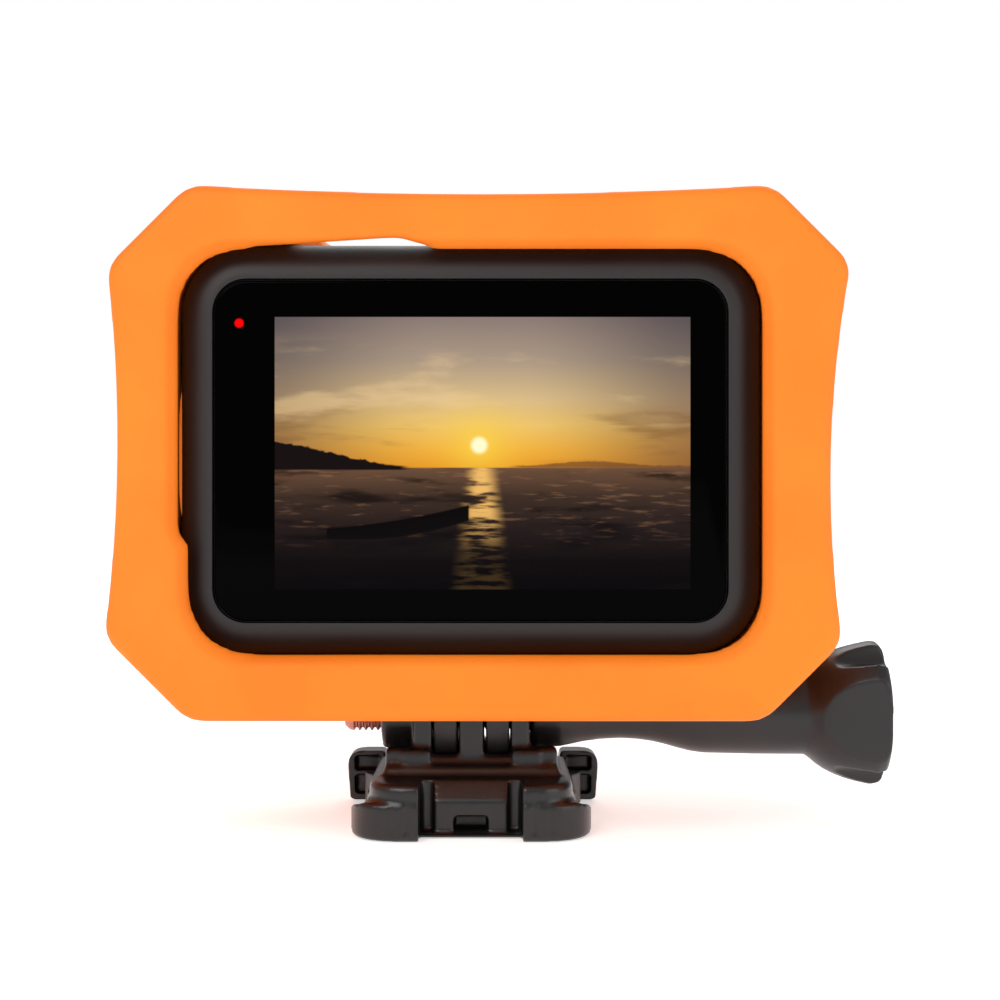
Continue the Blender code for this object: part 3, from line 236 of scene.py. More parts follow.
def bowed(start, end, sag, steps=12):
    along = Vector(end) - Vector(start)
    left = Vector((-along.y, along.x)).normalized()
    points = []
    for step in range(1, steps):
        share = step / steps
        points.append(tuple(Vector(start) + along * share + left * sag * 4 * share * (1 - share)))
    return points


def eased(corners, steps=6):
    # Each (a, b, reach) corner becomes a soft curve that starts that far before it
    points = []
    for index, (a, b, reach) in enumerate(corners):
        corner = Vector((a, b))
        if reach == 0:
            points.append((a, b))
            continue
        before = (Vector(corners[index - 1][:2]) - corner).normalized() * reach
        after = (Vector(corners[(index + 1) % len(corners)][:2]) - corner).normalized() * reach
        for step in range(steps + 1):
            share = step / steps
            points.append(tuple(corner + before * (1 - share) ** 2 + after * share ** 2))
    return points


# ---- material helpers
class Wire:
    # A node socket that takes part in ordinary sums
    def __init__(self, socket):
        self.socket = socket

    def other(self, name):
        return Wire(self.socket.node.outputs[name])

    def sum(self, operation, *terms):
        made = self.socket.id_data.nodes.new("ShaderNodeMath")
        made.operation = operation
        for place, term in zip(made.inputs, terms):
            plug(place, term)
        return Wire(made.outputs[0])

    def __add__(self, term):
        return self.sum("ADD", self, term)

    def __radd__(self, term):
        return self.sum("ADD", term, self)

    def __sub__(self, term):
        return self.sum("SUBTRACT", self, term)

    def __rsub__(self, term):
        return self.sum("SUBTRACT", term, self)

    def __mul__(self, term):
        return self.sum("MULTIPLY", self, term)

    def __rmul__(self, term):
        return self.sum("MULTIPLY", term, self)

    def __truediv__(self, term):
        return self.sum("DIVIDE", self, term)

    def __pow__(self, term):
        return self.sum("POWER", self, term)

    def __abs__(self):
        return self.sum("ABSOLUTE", self)


def plug(socket, value):
    if isinstance(value, Wire):
        socket.id_data.links.new(value.socket, socket)
    else:
        socket.default_value = value


def hue(red, green, blue):
    # A colour as a screen shows it, 0 to 255, turned into linear light
    linear = []
    for part in (red, green, blue):
        part = part / 255
        linear.append(part / 12.92 if part <= 0.04045 else ((part + 0.055) / 1.055) ** 2.4)
    return (*linear, 1.0)


class Finish:
    # One material, built on its Principled shader
    def __init__(self, name, **fixed):
        self.material = bpy.data.materials.new(name)
        self.material.use_nodes = True
        self.tree = self.material.node_tree
        self.shader = self.tree.nodes["Principled BSDF"]
        for key, value in fixed.items():
            self.set(key.replace("_", " ").title(), value)
        self.place = self.node("TexCoord", output="Object")

    def set(self, name, value):
        name = {"Ior": "IOR", "Specular": "Specular IOR Level"}.get(name, name)
        plug(self.shader.inputs[name], value)

    def node(self, kind, settings=(), inputs=(), output=0):
        made = self.tree.nodes.new("ShaderNode" + kind)
        for name, value in dict(settings).items():
            if name != "stops":
                setattr(made, name, value)
                continue
            ramp = made.color_ramp.elements
            while len(ramp) < len(value):
                ramp.new(1.0)
            for element, (place, colour) in zip(ramp, value):
                element.position = place
                element.color = colour
        byId = {socket.identifier: socket for socket in made.inputs}
        for name, value in dict(inputs).items():
            plug(byId[name] if name in byId else made.inputs[name], value)
        outs = {socket.identifier: socket for socket in made.outputs}
        return Wire(outs[output] if output in outs else made.outputs[output])

    def noise(self, size, detail=3, stretch=(1, 1, 1), offset=0):
        # Soft random marks about this many millimetres across
        per = 1000 / size
        place = self.node(
            "VectorMath", {"operation": "MULTIPLY_ADD"},
            {
                "Vector": self.place, "Vector_001": tuple(per * share for share in stretch),
                "Vector_002": (offset,) * 3,
            },
        )
        return self.node("TexNoise", {}, {"Vector": place, "Scale": 1.0, "Detail": detail})

    def spots(self, size, kind="F1"):
        per = 1000 / size
        place = self.node(
            "VectorMath", {"operation": "MULTIPLY_ADD"}, {"Vector": self.place, "Vector_001": (per,) * 3}
        )
        return self.node("TexVoronoi", {"feature": kind}, {"Vector": place, "Scale": 1.0})

    def step(self, value, low, high, kind="SMOOTHSTEP"):
        # 0 below low, 1 above high
        return self.node(
            "MapRange", {"interpolation_type": kind, "clamp": True},
            {"Value": value, "From Min": low, "From Max": high},
        )

    def mix(self, share, first, second):
        return self.node(
            "Mix", {"data_type": "RGBA"},
            {"Factor_Float": share, "A_Color": first, "B_Color": second}, "Result_Color",
        )

    def ramp(self, value, *stops):
        return self.node("ValToRGB", {"stops": stops}, {"Fac": value}, "Color")

    def bump(self, height, depth):
        # Height 0 to 1 raised by this many millimetres
        self.set("Normal", self.node("Bump", {}, {"Height": height, "Distance": depth * mm}))

    def axes(self):
        x = self.node("SeparateXYZ", {}, {"Vector": self.place}, "X")
        return x * 1000, x.other("Y") * 1000, x.other("Z") * 1000


def mouldedFinish(name, look):
    # Plastic or rubber: fine grain, slow shifts of shade, handled patches that shine a little more
    finish = Finish(name, specular=0.5)
    drift = finish.noise(look["drift"], 4)
    grain = finish.noise(look["grain"], 2, offset=7)
    shade = finish.mix(finish.step(drift, 0.3, 0.72), hue(*look["dark"]), hue(*look["light"]))
    finish.set("Base Color", finish.mix(grain * 0.35, shade, hue(*look["dark"])))
    rough = look["rough"]
    finish.set("Roughness", rough + (drift - 0.5) * 0.25 * rough + (grain - 0.5) * 0.12)
    finish.bump(grain + 0.6 * drift, look["depth"])
    return finish.material


def brushedFinish(name, look):
    # Metal with fine lines along one way
    finish = Finish(name, metallic=1.0)
    lines = finish.noise(look["line"], 3, look["stretch"])
    stain = finish.noise(5, 4, offset=3)
    colour = finish.mix(finish.step(stain, 0.35, 0.75), hue(*look["light"]), hue(*look["dark"]))
    finish.set("Base Color", finish.mix(lines * 0.4, colour, hue(*look["dark"])))
    finish.set("Roughness", look["rough"] + (lines - 0.5) * 0.2)
    finish.bump(lines, look["depth"])
    return finish.material


# ---- foam float
foamLook = {
    "light": (251, 132, 29), "dark": (249, 124, 23), "pore": (236, 110, 18), "cell": 0.42, "grain": 0.16,
    "drift": 16, "depth": 0.035, "rough": 0.62,
}


def paintFoam():
    # Closed-cell foam: fine cells under a smooth moulded skin
    finish = Finish("orangeFoam", specular=0.32)
    cells = finish.spots(foamLook["cell"])
    grain = finish.noise(foamLook["grain"], 2)
    drift = finish.noise(foamLook["drift"], 4, offset=5)
    shade = finish.mix(finish.step(drift, 0.32, 0.7), hue(*foamLook["dark"]), hue(*foamLook["light"]))
    pores = finish.step(cells, 0.0, 0.28)
    finish.set("Base Color", finish.mix(0.10 * (1 - pores), shade, hue(*foamLook["pore"])))
    finish.set("Roughness", foamLook["rough"] + (drift - 0.5) * 0.18 + (1 - pores) * 0.05)
    finish.bump(cells * 0.6 + grain * 0.5 + drift * 2.0, foamLook["depth"])
    return finish.material


floatSize = {
    "leftLow": -44.25, "leftTop": -43.9, "rightLow": 44.95, "rightTop": 46.0, "bottom": 15.25, "top": 80.1,
    "back": -20, "front": 20, "chamfer": 9.5, "leftLowChamfer": 10.2, "leftTopChamfer": 9.9, "corner": 2.0,
    "leftSag": 1.45, "rightSag": 1.9, "topSag": 1.1, "rim": 1.5, "lip": 72.3, "channel": 6.2,
    "sightSlope": math.degrees(math.atan(0.16)), "voxel": 0.6, "smooth": 3,
}
windowSize = {
    "upperLeft": -35.4, "lowerLeft": -34.1, "right": 35.3, "bottom": 23.35, "top": 72.3, "corner": 9.0,
    "slantTop": 38.5, "slantBottom": 36.5,
}
bodySize = {
    "half": 35.9, "bottom": 22.8, "top": 73.6, "corner": 8.5, "back": -17.2, "split": -11.5, "front": 10.8,
    "backRound": 4.7, "frontRound": 1.8, "wall": 2.4, "backWall": 3.3,
}
axle = (0, 14)
lampPlace = (-28.1, 63.5)
frontScreenSize = {"middle": (15.5, 56), "width": 27, "height": 24, "corner": 3, "back": 9.9, "front": 10.9}
lensSize = {
    "centre": (-17.5, 56.5), "coverHalf": 10.4, "coverCorner": 4, "coverBack": 11.1, "coverFront": 16.4,
}
shutterSize = {
    "centre": (-13, -1), "foot": 70.3, "step": 70.9, "flange": 5.0, "radius": 4.2,
    "crown": [(73.82, 4.1), (73.97, 3.85), (74.0, 3.5), (73.94, 3.1), (73.8, 2.7), (73.72, 1.6), (73.7, 0)],
}
modeSize = {
    "centre": (-1, 48), "width": 5.0, "height": 12.0, "outer": -36.3, "inner": -32.6, "rim": 0.45,
    "flangeGrow": 1.6, "flangeOuter": -33.2, "dishWidth": 3.0, "dishHeight": 9.6, "dishFloor": -36.12,
}


def floatOutline():
    size = floatSize
    step, low, high = size["chamfer"], size["leftLowChamfer"], size["leftTopChamfer"]
    corners = [
        (size["leftLow"] + low, size["bottom"]), (size["rightLow"] - step, size["bottom"]),
        (size["rightLow"], size["bottom"] + step), (size["rightTop"], size["top"] - step),
        (size["rightTop"] - step, size["top"]), (size["leftTop"] + high, size["top"]),
        (size["leftTop"], size["top"] - high), (size["leftLow"], size["bottom"] + low),
    ]
    sags = {2: size["rightSag"], 4: size["topSag"], 6: size["leftSag"]}
    points = []
    for index, corner in enumerate(corners):
        points.append((*corner, size["corner"]))
        if index in sags:
            run = bowed(corner, corners[(index + 1) % 8], sags[index])
            points.extend((*point, 0) for point in run)
    return eased(points)


def windowOutline():
    # The rear window leans out at its upper left, where the mode button's opening is
    size = windowSize
    low, left, right, reach = size["lowerLeft"], size["upperLeft"], size["right"], size["corner"]
    corners = [
        (low, size["bottom"], reach), (right, size["bottom"], reach), (right, size["top"], reach),
        (left, size["top"], reach), (left, size["slantTop"], 0), (low, size["slantBottom"], 0),
    ]
    return eased(corners, 10)


def bodyOutline(grow=0.0, steps=10):
    size = bodySize
    low = (-size["half"] - grow, size["bottom"] - grow)
    return roundedBox(low, (size["half"] + grow, size["top"] + grow), size["corner"] + grow, steps)


def makeFloat():
    size = floatSize
    foam = slab("floatFrame", floatOutline(), "Y", size["back"], size["front"])
    roundRim(foam, "Y", size["back"], size["rim"], 4)
    roundRim(foam, "Y", size["front"], size["rim"], 4)
    pocket = slab("pocket", bodyOutline(0.3), "Y", bodySize["back"] - 0.3, bodySize["front"] + 0.3)
    rear = slab("rearWindow", windowOutline(), "Y", -21, 0)
    mouth = slab("rearMouth", windowOutline(), "Y", -20.4, -18.6)
    flare(mouth, "Y", -20.4, (1.045, 1, 1.062), (0.3, 0, 48))
    front = slab("frontWindow", roundedBox((-33, 25.7), (33, 70.7), 6), "Y", 5, 21)
    flare(front, "Y", 21, (1.09, 1, 1.09), (0, 0, 48.2))
    shutter = slab("shutterHole", roundedBox((-22, -16.8), (-5, 12.5), 3, 6), "Z", 72.6, 81)
    lip = size["lip"]
    dip = [(-28, lip - 2), (-27, lip), (-10.2, lip + 1.1), (-8.4, lip + 1.1), (-4.6, lip), (-4, lip - 2)]
    notch = slab("notch", dip, "Y", -21, -14.8)
    scoop = slab("scoop", roundedBox((-22, lip), (-5, size["top"]), 2, 4), "Y", 8.5, 23)
    for tool in (notch, scoop):
        swing(tool, -size["sightSlope"], "X", (0, size["back"], lip))
    mode = slab("modeHole", roundedBox((-12, 39.5), (4, 56), 4, 6), "X", -46, -34.9)
    slot = slab("mountSlot", roundedBox((-19, -9), (9, 9), 3, 6), "Z", 14.2, 23.1)
    channel = rod("channel", size["channel"], "X", axle, 7, 48, 64)
    cut(foam, pocket, rear, mouth, front, shutter, notch, scoop, mode, slot, channel)
    return soften(foam, size["voxel"], size["smooth"])


foamPaint = paintFoam()
ready(makeFloat(), foamPaint, "float_foam", "camera_head", "float_frame", angle=60)
print("float frame made")


# ---- camera body
housingLook = {
    "light": (27, 21, 21), "dark": (20, 16, 17), "grain": 0.11, "depth": 0.02, "rough": 0.5, "drift": 12,
}
housingPaint = mouldedFinish("softTouchShell", housingLook)


def makeRearShell():
    size = bodySize
    shell = slab("rearShell", bodyOutline(), "Y", size["back"], size["split"])
    roundRim(shell, "Y", size["back"], size["backRound"], 10)
    floor = size["back"] + size["backWall"]
    cavity = slab("cavity", bodyOutline(-size["wall"]), "Y", floor, size["split"] + 1)
    seat = slab("seat", roundedAt((0, 48), 62.8, 41.9, 4.1), "Y", size["back"] - 1, -16.05)
    window = slab("window", roundedAt((1.47, 47.7), 51.4, 34.0, 1), "Y", -17, -12)
    light = rod("lightHole", 0.8, "Y", lampPlace, -17, -12, 32)
    cut(shell, cavity, seat, window, light)
    return bevel(shell, 0.12, 2, 50)


def makeFrontShell():
    size = bodySize
    shell = slab("frontShell", bodyOutline(), "Y", size["split"] + 0.06, size["front"])
    roundRim(shell, "Y", size["front"], size["frontRound"], 6)
    ceiling = size["front"] - size["wall"]
    cavity = slab("cavity", bodyOutline(-size["wall"]), "Y", size["split"] - 1, ceiling)
    lens = rod("lensHole", 7.7, "Y", lensSize["centre"], 0, 12)
    seat = slab("seat", roundedAt(frontScreenSize["middle"], 27.6, 24.6, 3.2), "Y", 9.6, 12)
    display = slab("display", roundedAt(frontScreenSize["middle"], 22.8, 19.8, 1), "Y", 7, 10)
    light = rod("lightHole", 0.75, "Y", (15.5, 38.5), 7, 12, 32)
    voice = rod("voiceHole", 0.8, "Y", (-8, 36), 7, 12, 32)
    shutter = rod("shutterHole", 4.4, "Z", shutterSize["centre"], 70, 75, 64)
    mode = slab("modeHole", roundedAt(modeSize["centre"], 5.4, 12.4, 2.7), "X", -37, -32)
    door = slab("doorBay", roundedBox((-9.5, 31.5), (6.5, 65.1), 1.4), "X", 34.4, 37)
    port = slab("portBay", roundedBox((-8.4, 32.6), (5.4, 64.0), 1.0), "X", 32, 36)
    room = block("fingerRoom", (-13, -8.3, 21), (13, 8.3, 26.8))
    cut(shell, cavity, lens, seat, display, light, voice, shutter, mode, door, port, room)
    return bevel(shell, 0.12, 2, 50)


ready(makeRearShell(), housingPaint, "housing", "camera_head", "rear_housing")
ready(makeFrontShell(), housingPaint, "housing", "camera_head", "front_housing")
print("camera body made")


# ---- rear screen, with a sunset over water on its display
screenSize = {"middle": (0, 48), "width": 62.3, "height": 41.4, "corner": 3.9, "back": -17.3, "front": -16.3}
pictureSize = {
    "left": -23.83, "bottom": 31.1, "width": 50.6, "height": 33.2, "horizon": 0.447, "sun": (0.492, 0.529),
}
lampRadius = 0.57


def paintSky(finish, u, v):
    # Warm low down and in the middle, greyer up high and to the sides; v is 0 at the bottom and 1 at the top
    aside = abs(u - pictureSize["sun"][0])
    horizon = pictureSize["horizon"]
    middle = finish.ramp(
        v, (horizon, hue(235, 156, 38)), (0.52, hue(243, 180, 66)), (0.6, hue(240, 197, 104)),
        (0.7, hue(218, 188, 136)), (0.84, hue(172, 152, 132)), (1.0, hue(138, 122, 116)),
    )
    edges = finish.ramp(
        v, (horizon, hue(146, 98, 52)), (0.56, hue(158, 116, 70)), (0.7, hue(146, 122, 98)),
        (0.85, hue(116, 103, 96)), (1.0, hue(90, 80, 84)),
    )
    sky = finish.mix(finish.step(aside, 0.08, 0.56), middle, edges)
    clouds = finish.noise(9, 5, (0.6, 1, 2.4), 11)
    bank = finish.step(v, 0.56, 0.66) * (1 - finish.step(v, 0.78, 0.96))
    sky = finish.mix(finish.step(clouds, 0.52, 0.68) * bank * 0.45, sky, hue(240, 205, 150))
    low = finish.noise(6, 4, (0.35, 1, 2.6), 23)
    streak = finish.step(low, 0.53, 0.66) * (1 - finish.step(v, 0.60, 0.72)) * finish.step(aside, 0.05, 0.3)
    sky = finish.mix(streak * 0.5, sky, hue(126, 88, 52))
    away = ((u - pictureSize["sun"][0]) * 1.52) ** 2 + (v - pictureSize["sun"][1]) ** 2
    away = away ** 0.5
    glow = 1 - finish.step(away, 0.0, 0.26, "LINEAR")
    sky = finish.mix(glow ** 2.4 * 0.9, sky, hue(255, 214, 70))
    return finish.mix(1 - finish.step(away, 0.018, 0.04), sky, hue(255, 254, 206))


def paintSea(finish, u, v):
    # Dark water that gets lighter towards the horizon, with the sun's broken path across it
    sea = finish.ramp(
        v, (0.0, hue(6, 3, 6)), (0.10, hue(12, 7, 10)), (0.22, hue(36, 26, 26)),
        (0.34, hue(62, 46, 38)), (0.447, hue(108, 78, 58)),
    )
    waves = finish.noise(3.4, 5, (0.34, 1, 2.3), 31)
    ripples = finish.noise(1.3, 3, (0.4, 1, 2.6), 41)
    sea = finish.mix(finish.step(waves, 0.50, 0.30) * 0.75, sea, hue(13, 9, 11))
    glints = finish.step(ripples, 0.55, 0.75) * finish.step(v, 0.12, 0.34) * 0.5
    sea = finish.mix(glints, sea, hue(142, 104, 76))
    depth = pictureSize["horizon"] - v
    aside = abs(u - 0.497)
    path = 1 - finish.step(aside - depth * 0.09, 0.0, 0.045)
    path = path * finish.step(ripples + waves, 0.86, 1.12) * (1 - finish.step(depth, 0.14, 0.32) * 0.95)
    return finish.mix(path, sea, hue(240, 186, 104))


def paintLand(finish, u, v, view):
    # A wooded point on the left, low hills far off on the right, and an empty boat
    trees = finish.noise(1.0, 3, offset=53)
    rough = (trees - 0.5) * 0.028 * (1 - finish.step(u, 0.2, 0.32))
    ridge = 0.449 + 0.095 * (1 - finish.step(u, -0.05, 0.33)) + rough
    point = (1 - finish.step(v - ridge, 0.0, 0.008)) * finish.step(v, 0.436, 0.442)
    point = point * (1 - finish.step(u, 0.30, 0.33))
    far = 0.45 + 0.016 * (1 - finish.step(abs(u - 0.76), 0.02, 0.16)) + (trees - 0.5) * 0.008
    hills = (1 - finish.step(v - far, 0.0, 0.008)) * finish.step(v, 0.444, 0.45) * finish.step(u, 0.55, 0.6)
    view = finish.mix(hills * 0.75, view, hue(108, 66, 42))
    view = finish.mix(point, view, hue(24, 16, 17))
    along = (u - 0.122) / 0.348
    rise = 0.214 + along * 0.082 + (along - 0.45) ** 2 * 0.05
    keel = 0.160 + along * 0.066 + (along - 0.5) ** 2 * 0.12
    hull = finish.step(v - keel, -0.004, 0.004) * (1 - finish.step(v - rise, -0.004, 0.004))
    hull = hull * finish.step(along, 0.0, 0.02) * (1 - finish.step(along, 0.985, 1.0))
    view = finish.mix(hull, view, hue(11, 8, 9))
    shadow = (1 - finish.step(abs(v - keel + 0.03), 0.0, 0.05)) * finish.step(along, 0.0, 0.1)
    return finish.mix(shadow * (1 - finish.step(along, 0.9, 1.1)) * 0.7, view, hue(15, 11, 12))


def paintScreen():
    finish = Finish("rearScreen", specular=0.02, emission_strength=1.0, base_color=hue(1, 1, 1))
    x, y, z = finish.axes()
    u = (x - pictureSize["left"]) / pictureSize["width"]
    v = (z - pictureSize["bottom"]) / pictureSize["height"]
    above = finish.step(v, pictureSize["horizon"] - 0.003, pictureSize["horizon"] + 0.003)
    view = finish.mix(above, paintSea(finish, u, v), paintSky(finish, u, v))
    view = paintLand(finish, u, v, view)
    inside = finish.step(0.5 - abs(u - 0.5), 0.0, 0.002) * finish.step(0.5 - abs(v - 0.5), 0.0, 0.003)
    view = finish.mix(inside, hue(0, 0, 0), view)
    fromLamp = ((x - lampPlace[0]) ** 2 + (z - lampPlace[1]) ** 2) ** 0.5
    lamp = 1 - finish.step(fromLamp, lampRadius - 0.12, lampRadius + 0.08)
    view = finish.mix(lamp, view, hue(255, 4, 8))
    facing = 1 - finish.step(y, -17.2, -17.1)
    finish.set("Emission Color", finish.mix(facing, hue(0, 0, 0), view))
    smear = finish.noise(14, 4, (1, 1, 1.6))
    finish.set("Roughness", 0.05 + 0.06 * finish.step(smear, 0.4, 0.8))
    return finish.material


def makeScreen(name, size, outer):
    outline = roundedAt(size["middle"], size["width"], size["height"], size["corner"], 12)
    glass = slab(name, outline, "Y", size["back"], size["front"])
    return roundRim(glass, "Y", outer, 0.3, 4)


screenPaint = paintScreen()
rearScreen = makeScreen("rearScreen", screenSize, screenSize["back"])
ready(rearScreen, screenPaint, "screen_glass", "camera_head", "rear_glass")
print("rear screen made")


# ---- front screen, lens, turning lens cover
def paintBlackGlass():
    finish = Finish("blackGlass", specular=0.5)
    smear = finish.noise(7, 4, (1, 1, 1.7))
    finish.set("Base Color", finish.mix(finish.step(smear, 0.3, 0.8), hue(6, 6, 8), hue(12, 12, 15)))
    finish.set("Roughness", 0.05 + 0.08 * finish.step(smear, 0.45, 0.8))
    return finish.material


def paintLensCoatingReflection():
    # A coated element: the coating's reflection is painted into its colour, violet in the middle, greener
    # towards its rim
    finish = Finish("coatedLensPaintedReflection", specular=0.8, coat_weight=1.0, coat_roughness=0.02)
    x, y, z = finish.axes()
    centre = lensSize["centre"]
    away = ((x - centre[0]) ** 2 + (z - centre[1]) ** 2) ** 0.5
    # painted reflection: the coating's violet and green rings, set by distance from the lens centre, near
    # black at the rim
    colour = finish.ramp(
        away / 6.0, (0.0, hue(8, 6, 22)), (0.45, hue(22, 12, 44)), (0.7, hue(10, 30, 40)), (1.0, hue(4, 5, 8))
    )
    finish.set("Base Color", colour)
    finish.set("Roughness", 0.03 + 0.03 * finish.noise(3, 3))
    return finish.material


def paintClearGlass():
    finish = Finish("clearGlass", specular=0.6, base_color=hue(210, 222, 226))
    smear = finish.noise(5, 4, (1, 1, 1.5))
    finish.set("Alpha", 0.10 + 0.08 * finish.step(smear, 0.4, 0.8))
    finish.set("Roughness", 0.03 + 0.05 * finish.step(smear, 0.4, 0.8))
    return finish.material


def makeLensCover():
    size = lensSize
    centre = size["centre"]
    side = 2 * size["coverHalf"]
    outline = roundedAt(centre, side, side, size["coverCorner"], 12)
    cover = slab("lensCover", outline, "Y", size["coverBack"], size["coverFront"])
    roundRim(cover, "Y", size["coverFront"], 1.0, 5)
    bore = turned("bore", [(10, 0), (10, 7.7), (13.6, 7.7), (15.3, 8.25), (15.3, 0)], "Y", centre, 96)
    seat = slab("seat", roundedAt(centre, 17.2, 17.2, 3.0), "Y", 14.95, 17)
    cut(cover, bore, seat)
    for step in range(5):  # grip lines on the two upright sides
        z = centre[1] - 4.4 + 2.2 * step
        for x in (centre[0] - 10.75, centre[0] + 10.75):
            cut(cover, rod("grip", 0.55, "Y", (x, z), 12.2, 15.4, 20))
    return bevel(cover, 0.1, 2, 50)


def makeBarrel():
    profile = [
        (-4, 6.0), (-4, 7.4), (12.7, 7.4), (13.0, 7.1), (13.0, 6.9), (12.75, 6.8), (12.75, 6.6),
        (12.5, 6.5), (12.5, 6.3), (12.3, 6.2), (12.3, 6.0), (-4, 6.0),
    ]
    return turned("lensBarrel", profile, "Y", lensSize["centre"], 128)


def makeFrontLens():
    back, rim, rise, radius, steps = 8.6, 9.8, 2.4, 5.85, 12
    dome = [(back, 0), (back, radius), (rim, radius)]
    for step in range(1, steps + 1):
        angle = math.radians(90 * step / steps)
        dome.append((rim + rise * math.sin(angle), radius * math.cos(angle)))
    return turned("frontLens", dome, "Y", lensSize["centre"], 128)


trimPaint = mouldedFinish("lensTrim", {
    "light": (34, 34, 36), "dark": (24, 24, 26), "grain": 0.09, "depth": 0.01, "rough": 0.32, "drift": 6,
})
blackPaint = paintBlackGlass()
lensReflectionPaint = paintLensCoatingReflection()
clearPaint = paintClearGlass()
frontScreen = makeScreen("frontScreen", frontScreenSize, frontScreenSize["front"])
ready(frontScreen, blackPaint, "screen_glass", "camera_head", "front_glass")
ready(makeLensCover(), trimPaint, "lens_trim", "lens_port_cover", "lens_cover")
pane = slab("lensCoverPane", roundedAt(lensSize["centre"], 16.8, 16.8, 2.8, 12), "Y", 15.1, 16.1)
roundRim(pane, "Y", 16.1, 0.3, 3)
ready(pane, clearPaint, "lens_glass", "lens_port_cover", "lens_cover_glass")
ready(makeBarrel(), trimPaint, "lens_trim", "camera_head", "lens_barrel")
ready(makeFrontLens(), lensReflectionPaint, "lens_glass", "camera_head", "front_lens")
print("lens and its cover made")


# ---- buttons
buttonLook = {
    "light": (46, 45, 46), "dark": (33, 32, 33), "grain": 0.1, "depth": 0.012, "rough": 0.42, "drift": 5,
}
buttonPaint = mouldedFinish("buttonRubber", buttonLook)


def makeShutterButton():
    size = shutterSize
    foot, step, flange, radius = size["foot"], size["step"], size["flange"], size["radius"]
    profile = [(foot, 0), (foot, flange), (step, flange), (step, radius), (73.55, radius), *size["crown"]]
    return turned("shutterButton", profile, "Z", size["centre"], 96)


def makeModeButton():
    size = modeSize
    centre, width, height = size["centre"], size["width"], size["height"]
    outline = roundedAt(centre, width, height, width / 2, 12)
    button = slab("modeButton", outline, "X", size["outer"], size["inner"])
    roundRim(button, "X", size["outer"], size["rim"], 4)
    wide, tall = width + size["flangeGrow"], height + size["flangeGrow"]
    around = roundedAt(centre, wide, tall, wide / 2, 12)
    fuse(button, slab("flange", around, "X", size["flangeOuter"], size["inner"]))
    hollow = roundedAt(centre, size["dishWidth"], size["dishHeight"], size["dishWidth"] / 2, 12)
    dish = slab("dish", hollow, "X", -37, size["dishFloor"])
    return bevel(cut(button, dish), 0.08, 2, 50)


ready(makeShutterButton(), buttonPaint, "buttons", "shutter", "shutter_button")
ready(makeModeButton(), buttonPaint, "buttons", "mode", "mode_button")
print("buttons made")


# ---- fingers under the body
fingerLook = {
    "light": (36, 33, 34), "dark": (24, 22, 23), "grain": 0.1, "depth": 0.014, "rough": 0.4, "drift": 7,
}
fingerSize = {
    "radius": 7.4, "near": 1.85, "far": 4.85, "stem": 5.5, "stemFoot": 20.2, "stemTop": 26.2, "bore": 2.75,
    "pinHole": 0.85, "pinHeight": 24.5,
}
fingerPaint = mouldedFinish("fingerPlastic", fingerLook)


def makeFinger(name, side):
    size = fingerSize
    low, high = sorted((side * size["near"], side * size["far"]))
    stem, foot, top = size["stem"], size["stemFoot"], size["stemTop"]
    outline = arc(axle, size["radius"], 138, 402, 44)
    outline += [(stem, foot), (stem, top), (-stem, top), (-stem, foot)]
    finger = slab(name, outline, "X", low, high)
    bore = rod("bore", size["bore"], "X", axle, low - 1, high + 1, 48)
    pin = rod("pinHole", size["pinHole"], "Y", ((low + high) / 2, size["pinHeight"]), -12, 12, 24)
    return bevel(cut(finger, bore, pin), 0.3, 3, 50)


ready(makeFinger("leftFinger", -1), fingerPaint, "fingers", "camera_head", "left_finger")
ready(makeFinger("rightFinger", 1), fingerPaint, "fingers", "camera_head", "right_finger")
print("fingers made")


# ---- quick-release buckle
buckleLook = {
    "light": (25, 24, 25), "dark": (17, 16, 17), "grain": 0.12, "depth": 0.01, "rough": 0.3, "drift": 6,
}
buckleSize = {
    "half": 15.2, "nose": -15.7, "noseReach": 7, "end": 14, "railTop": 4.6, "railFoot": 0.5, "railRim": 0.35,
    "deckHalf": 12.8, "deckNose": -15.5, "deckReach": 5.6, "deckEnd": 8, "deckBottom": 3.6, "deckTop": 6.9,
    "deckRim": 0.8, "prong": 7.5, "prongFoot": 5.3, "prongEdge": 7.4, "prongInner": 5.1, "middleProng": 1.6,
    "armRoom": 8.4, "armRoomStart": -6.2, "armRoomTop": 4.9, "trough": 7.8, "troughGap": 0.05, "bore": 2.75,
    "nutCorner": 4.21, "nutFloor": -8.3, "tongueFace": -12.6, "slotEnd": -10.6, "flute": 0.42,
    "fluteMiddle": -15.82, "voxel": 0.27, "smooth": 3,
}
shoulderBoxes = (
    # near and far X, near and far Y, top: two shoulders and a foot beside each outer prong
    (7.0, 11.0, -7.9, -5.0, 10.3), (7.0, 11.0, 5.0, 7.9, 10.3), (5.1, 8.9, -8.3, -5.4, 10.2),
)
bucklePaint = mouldedFinish("bucklePlastic", buckleLook)


def noseOutline(half, nose, reach, end, steps):
    return eased([(-half, nose, reach), (half, nose, reach), (half, end, 0), (-half, end, 0)], steps)


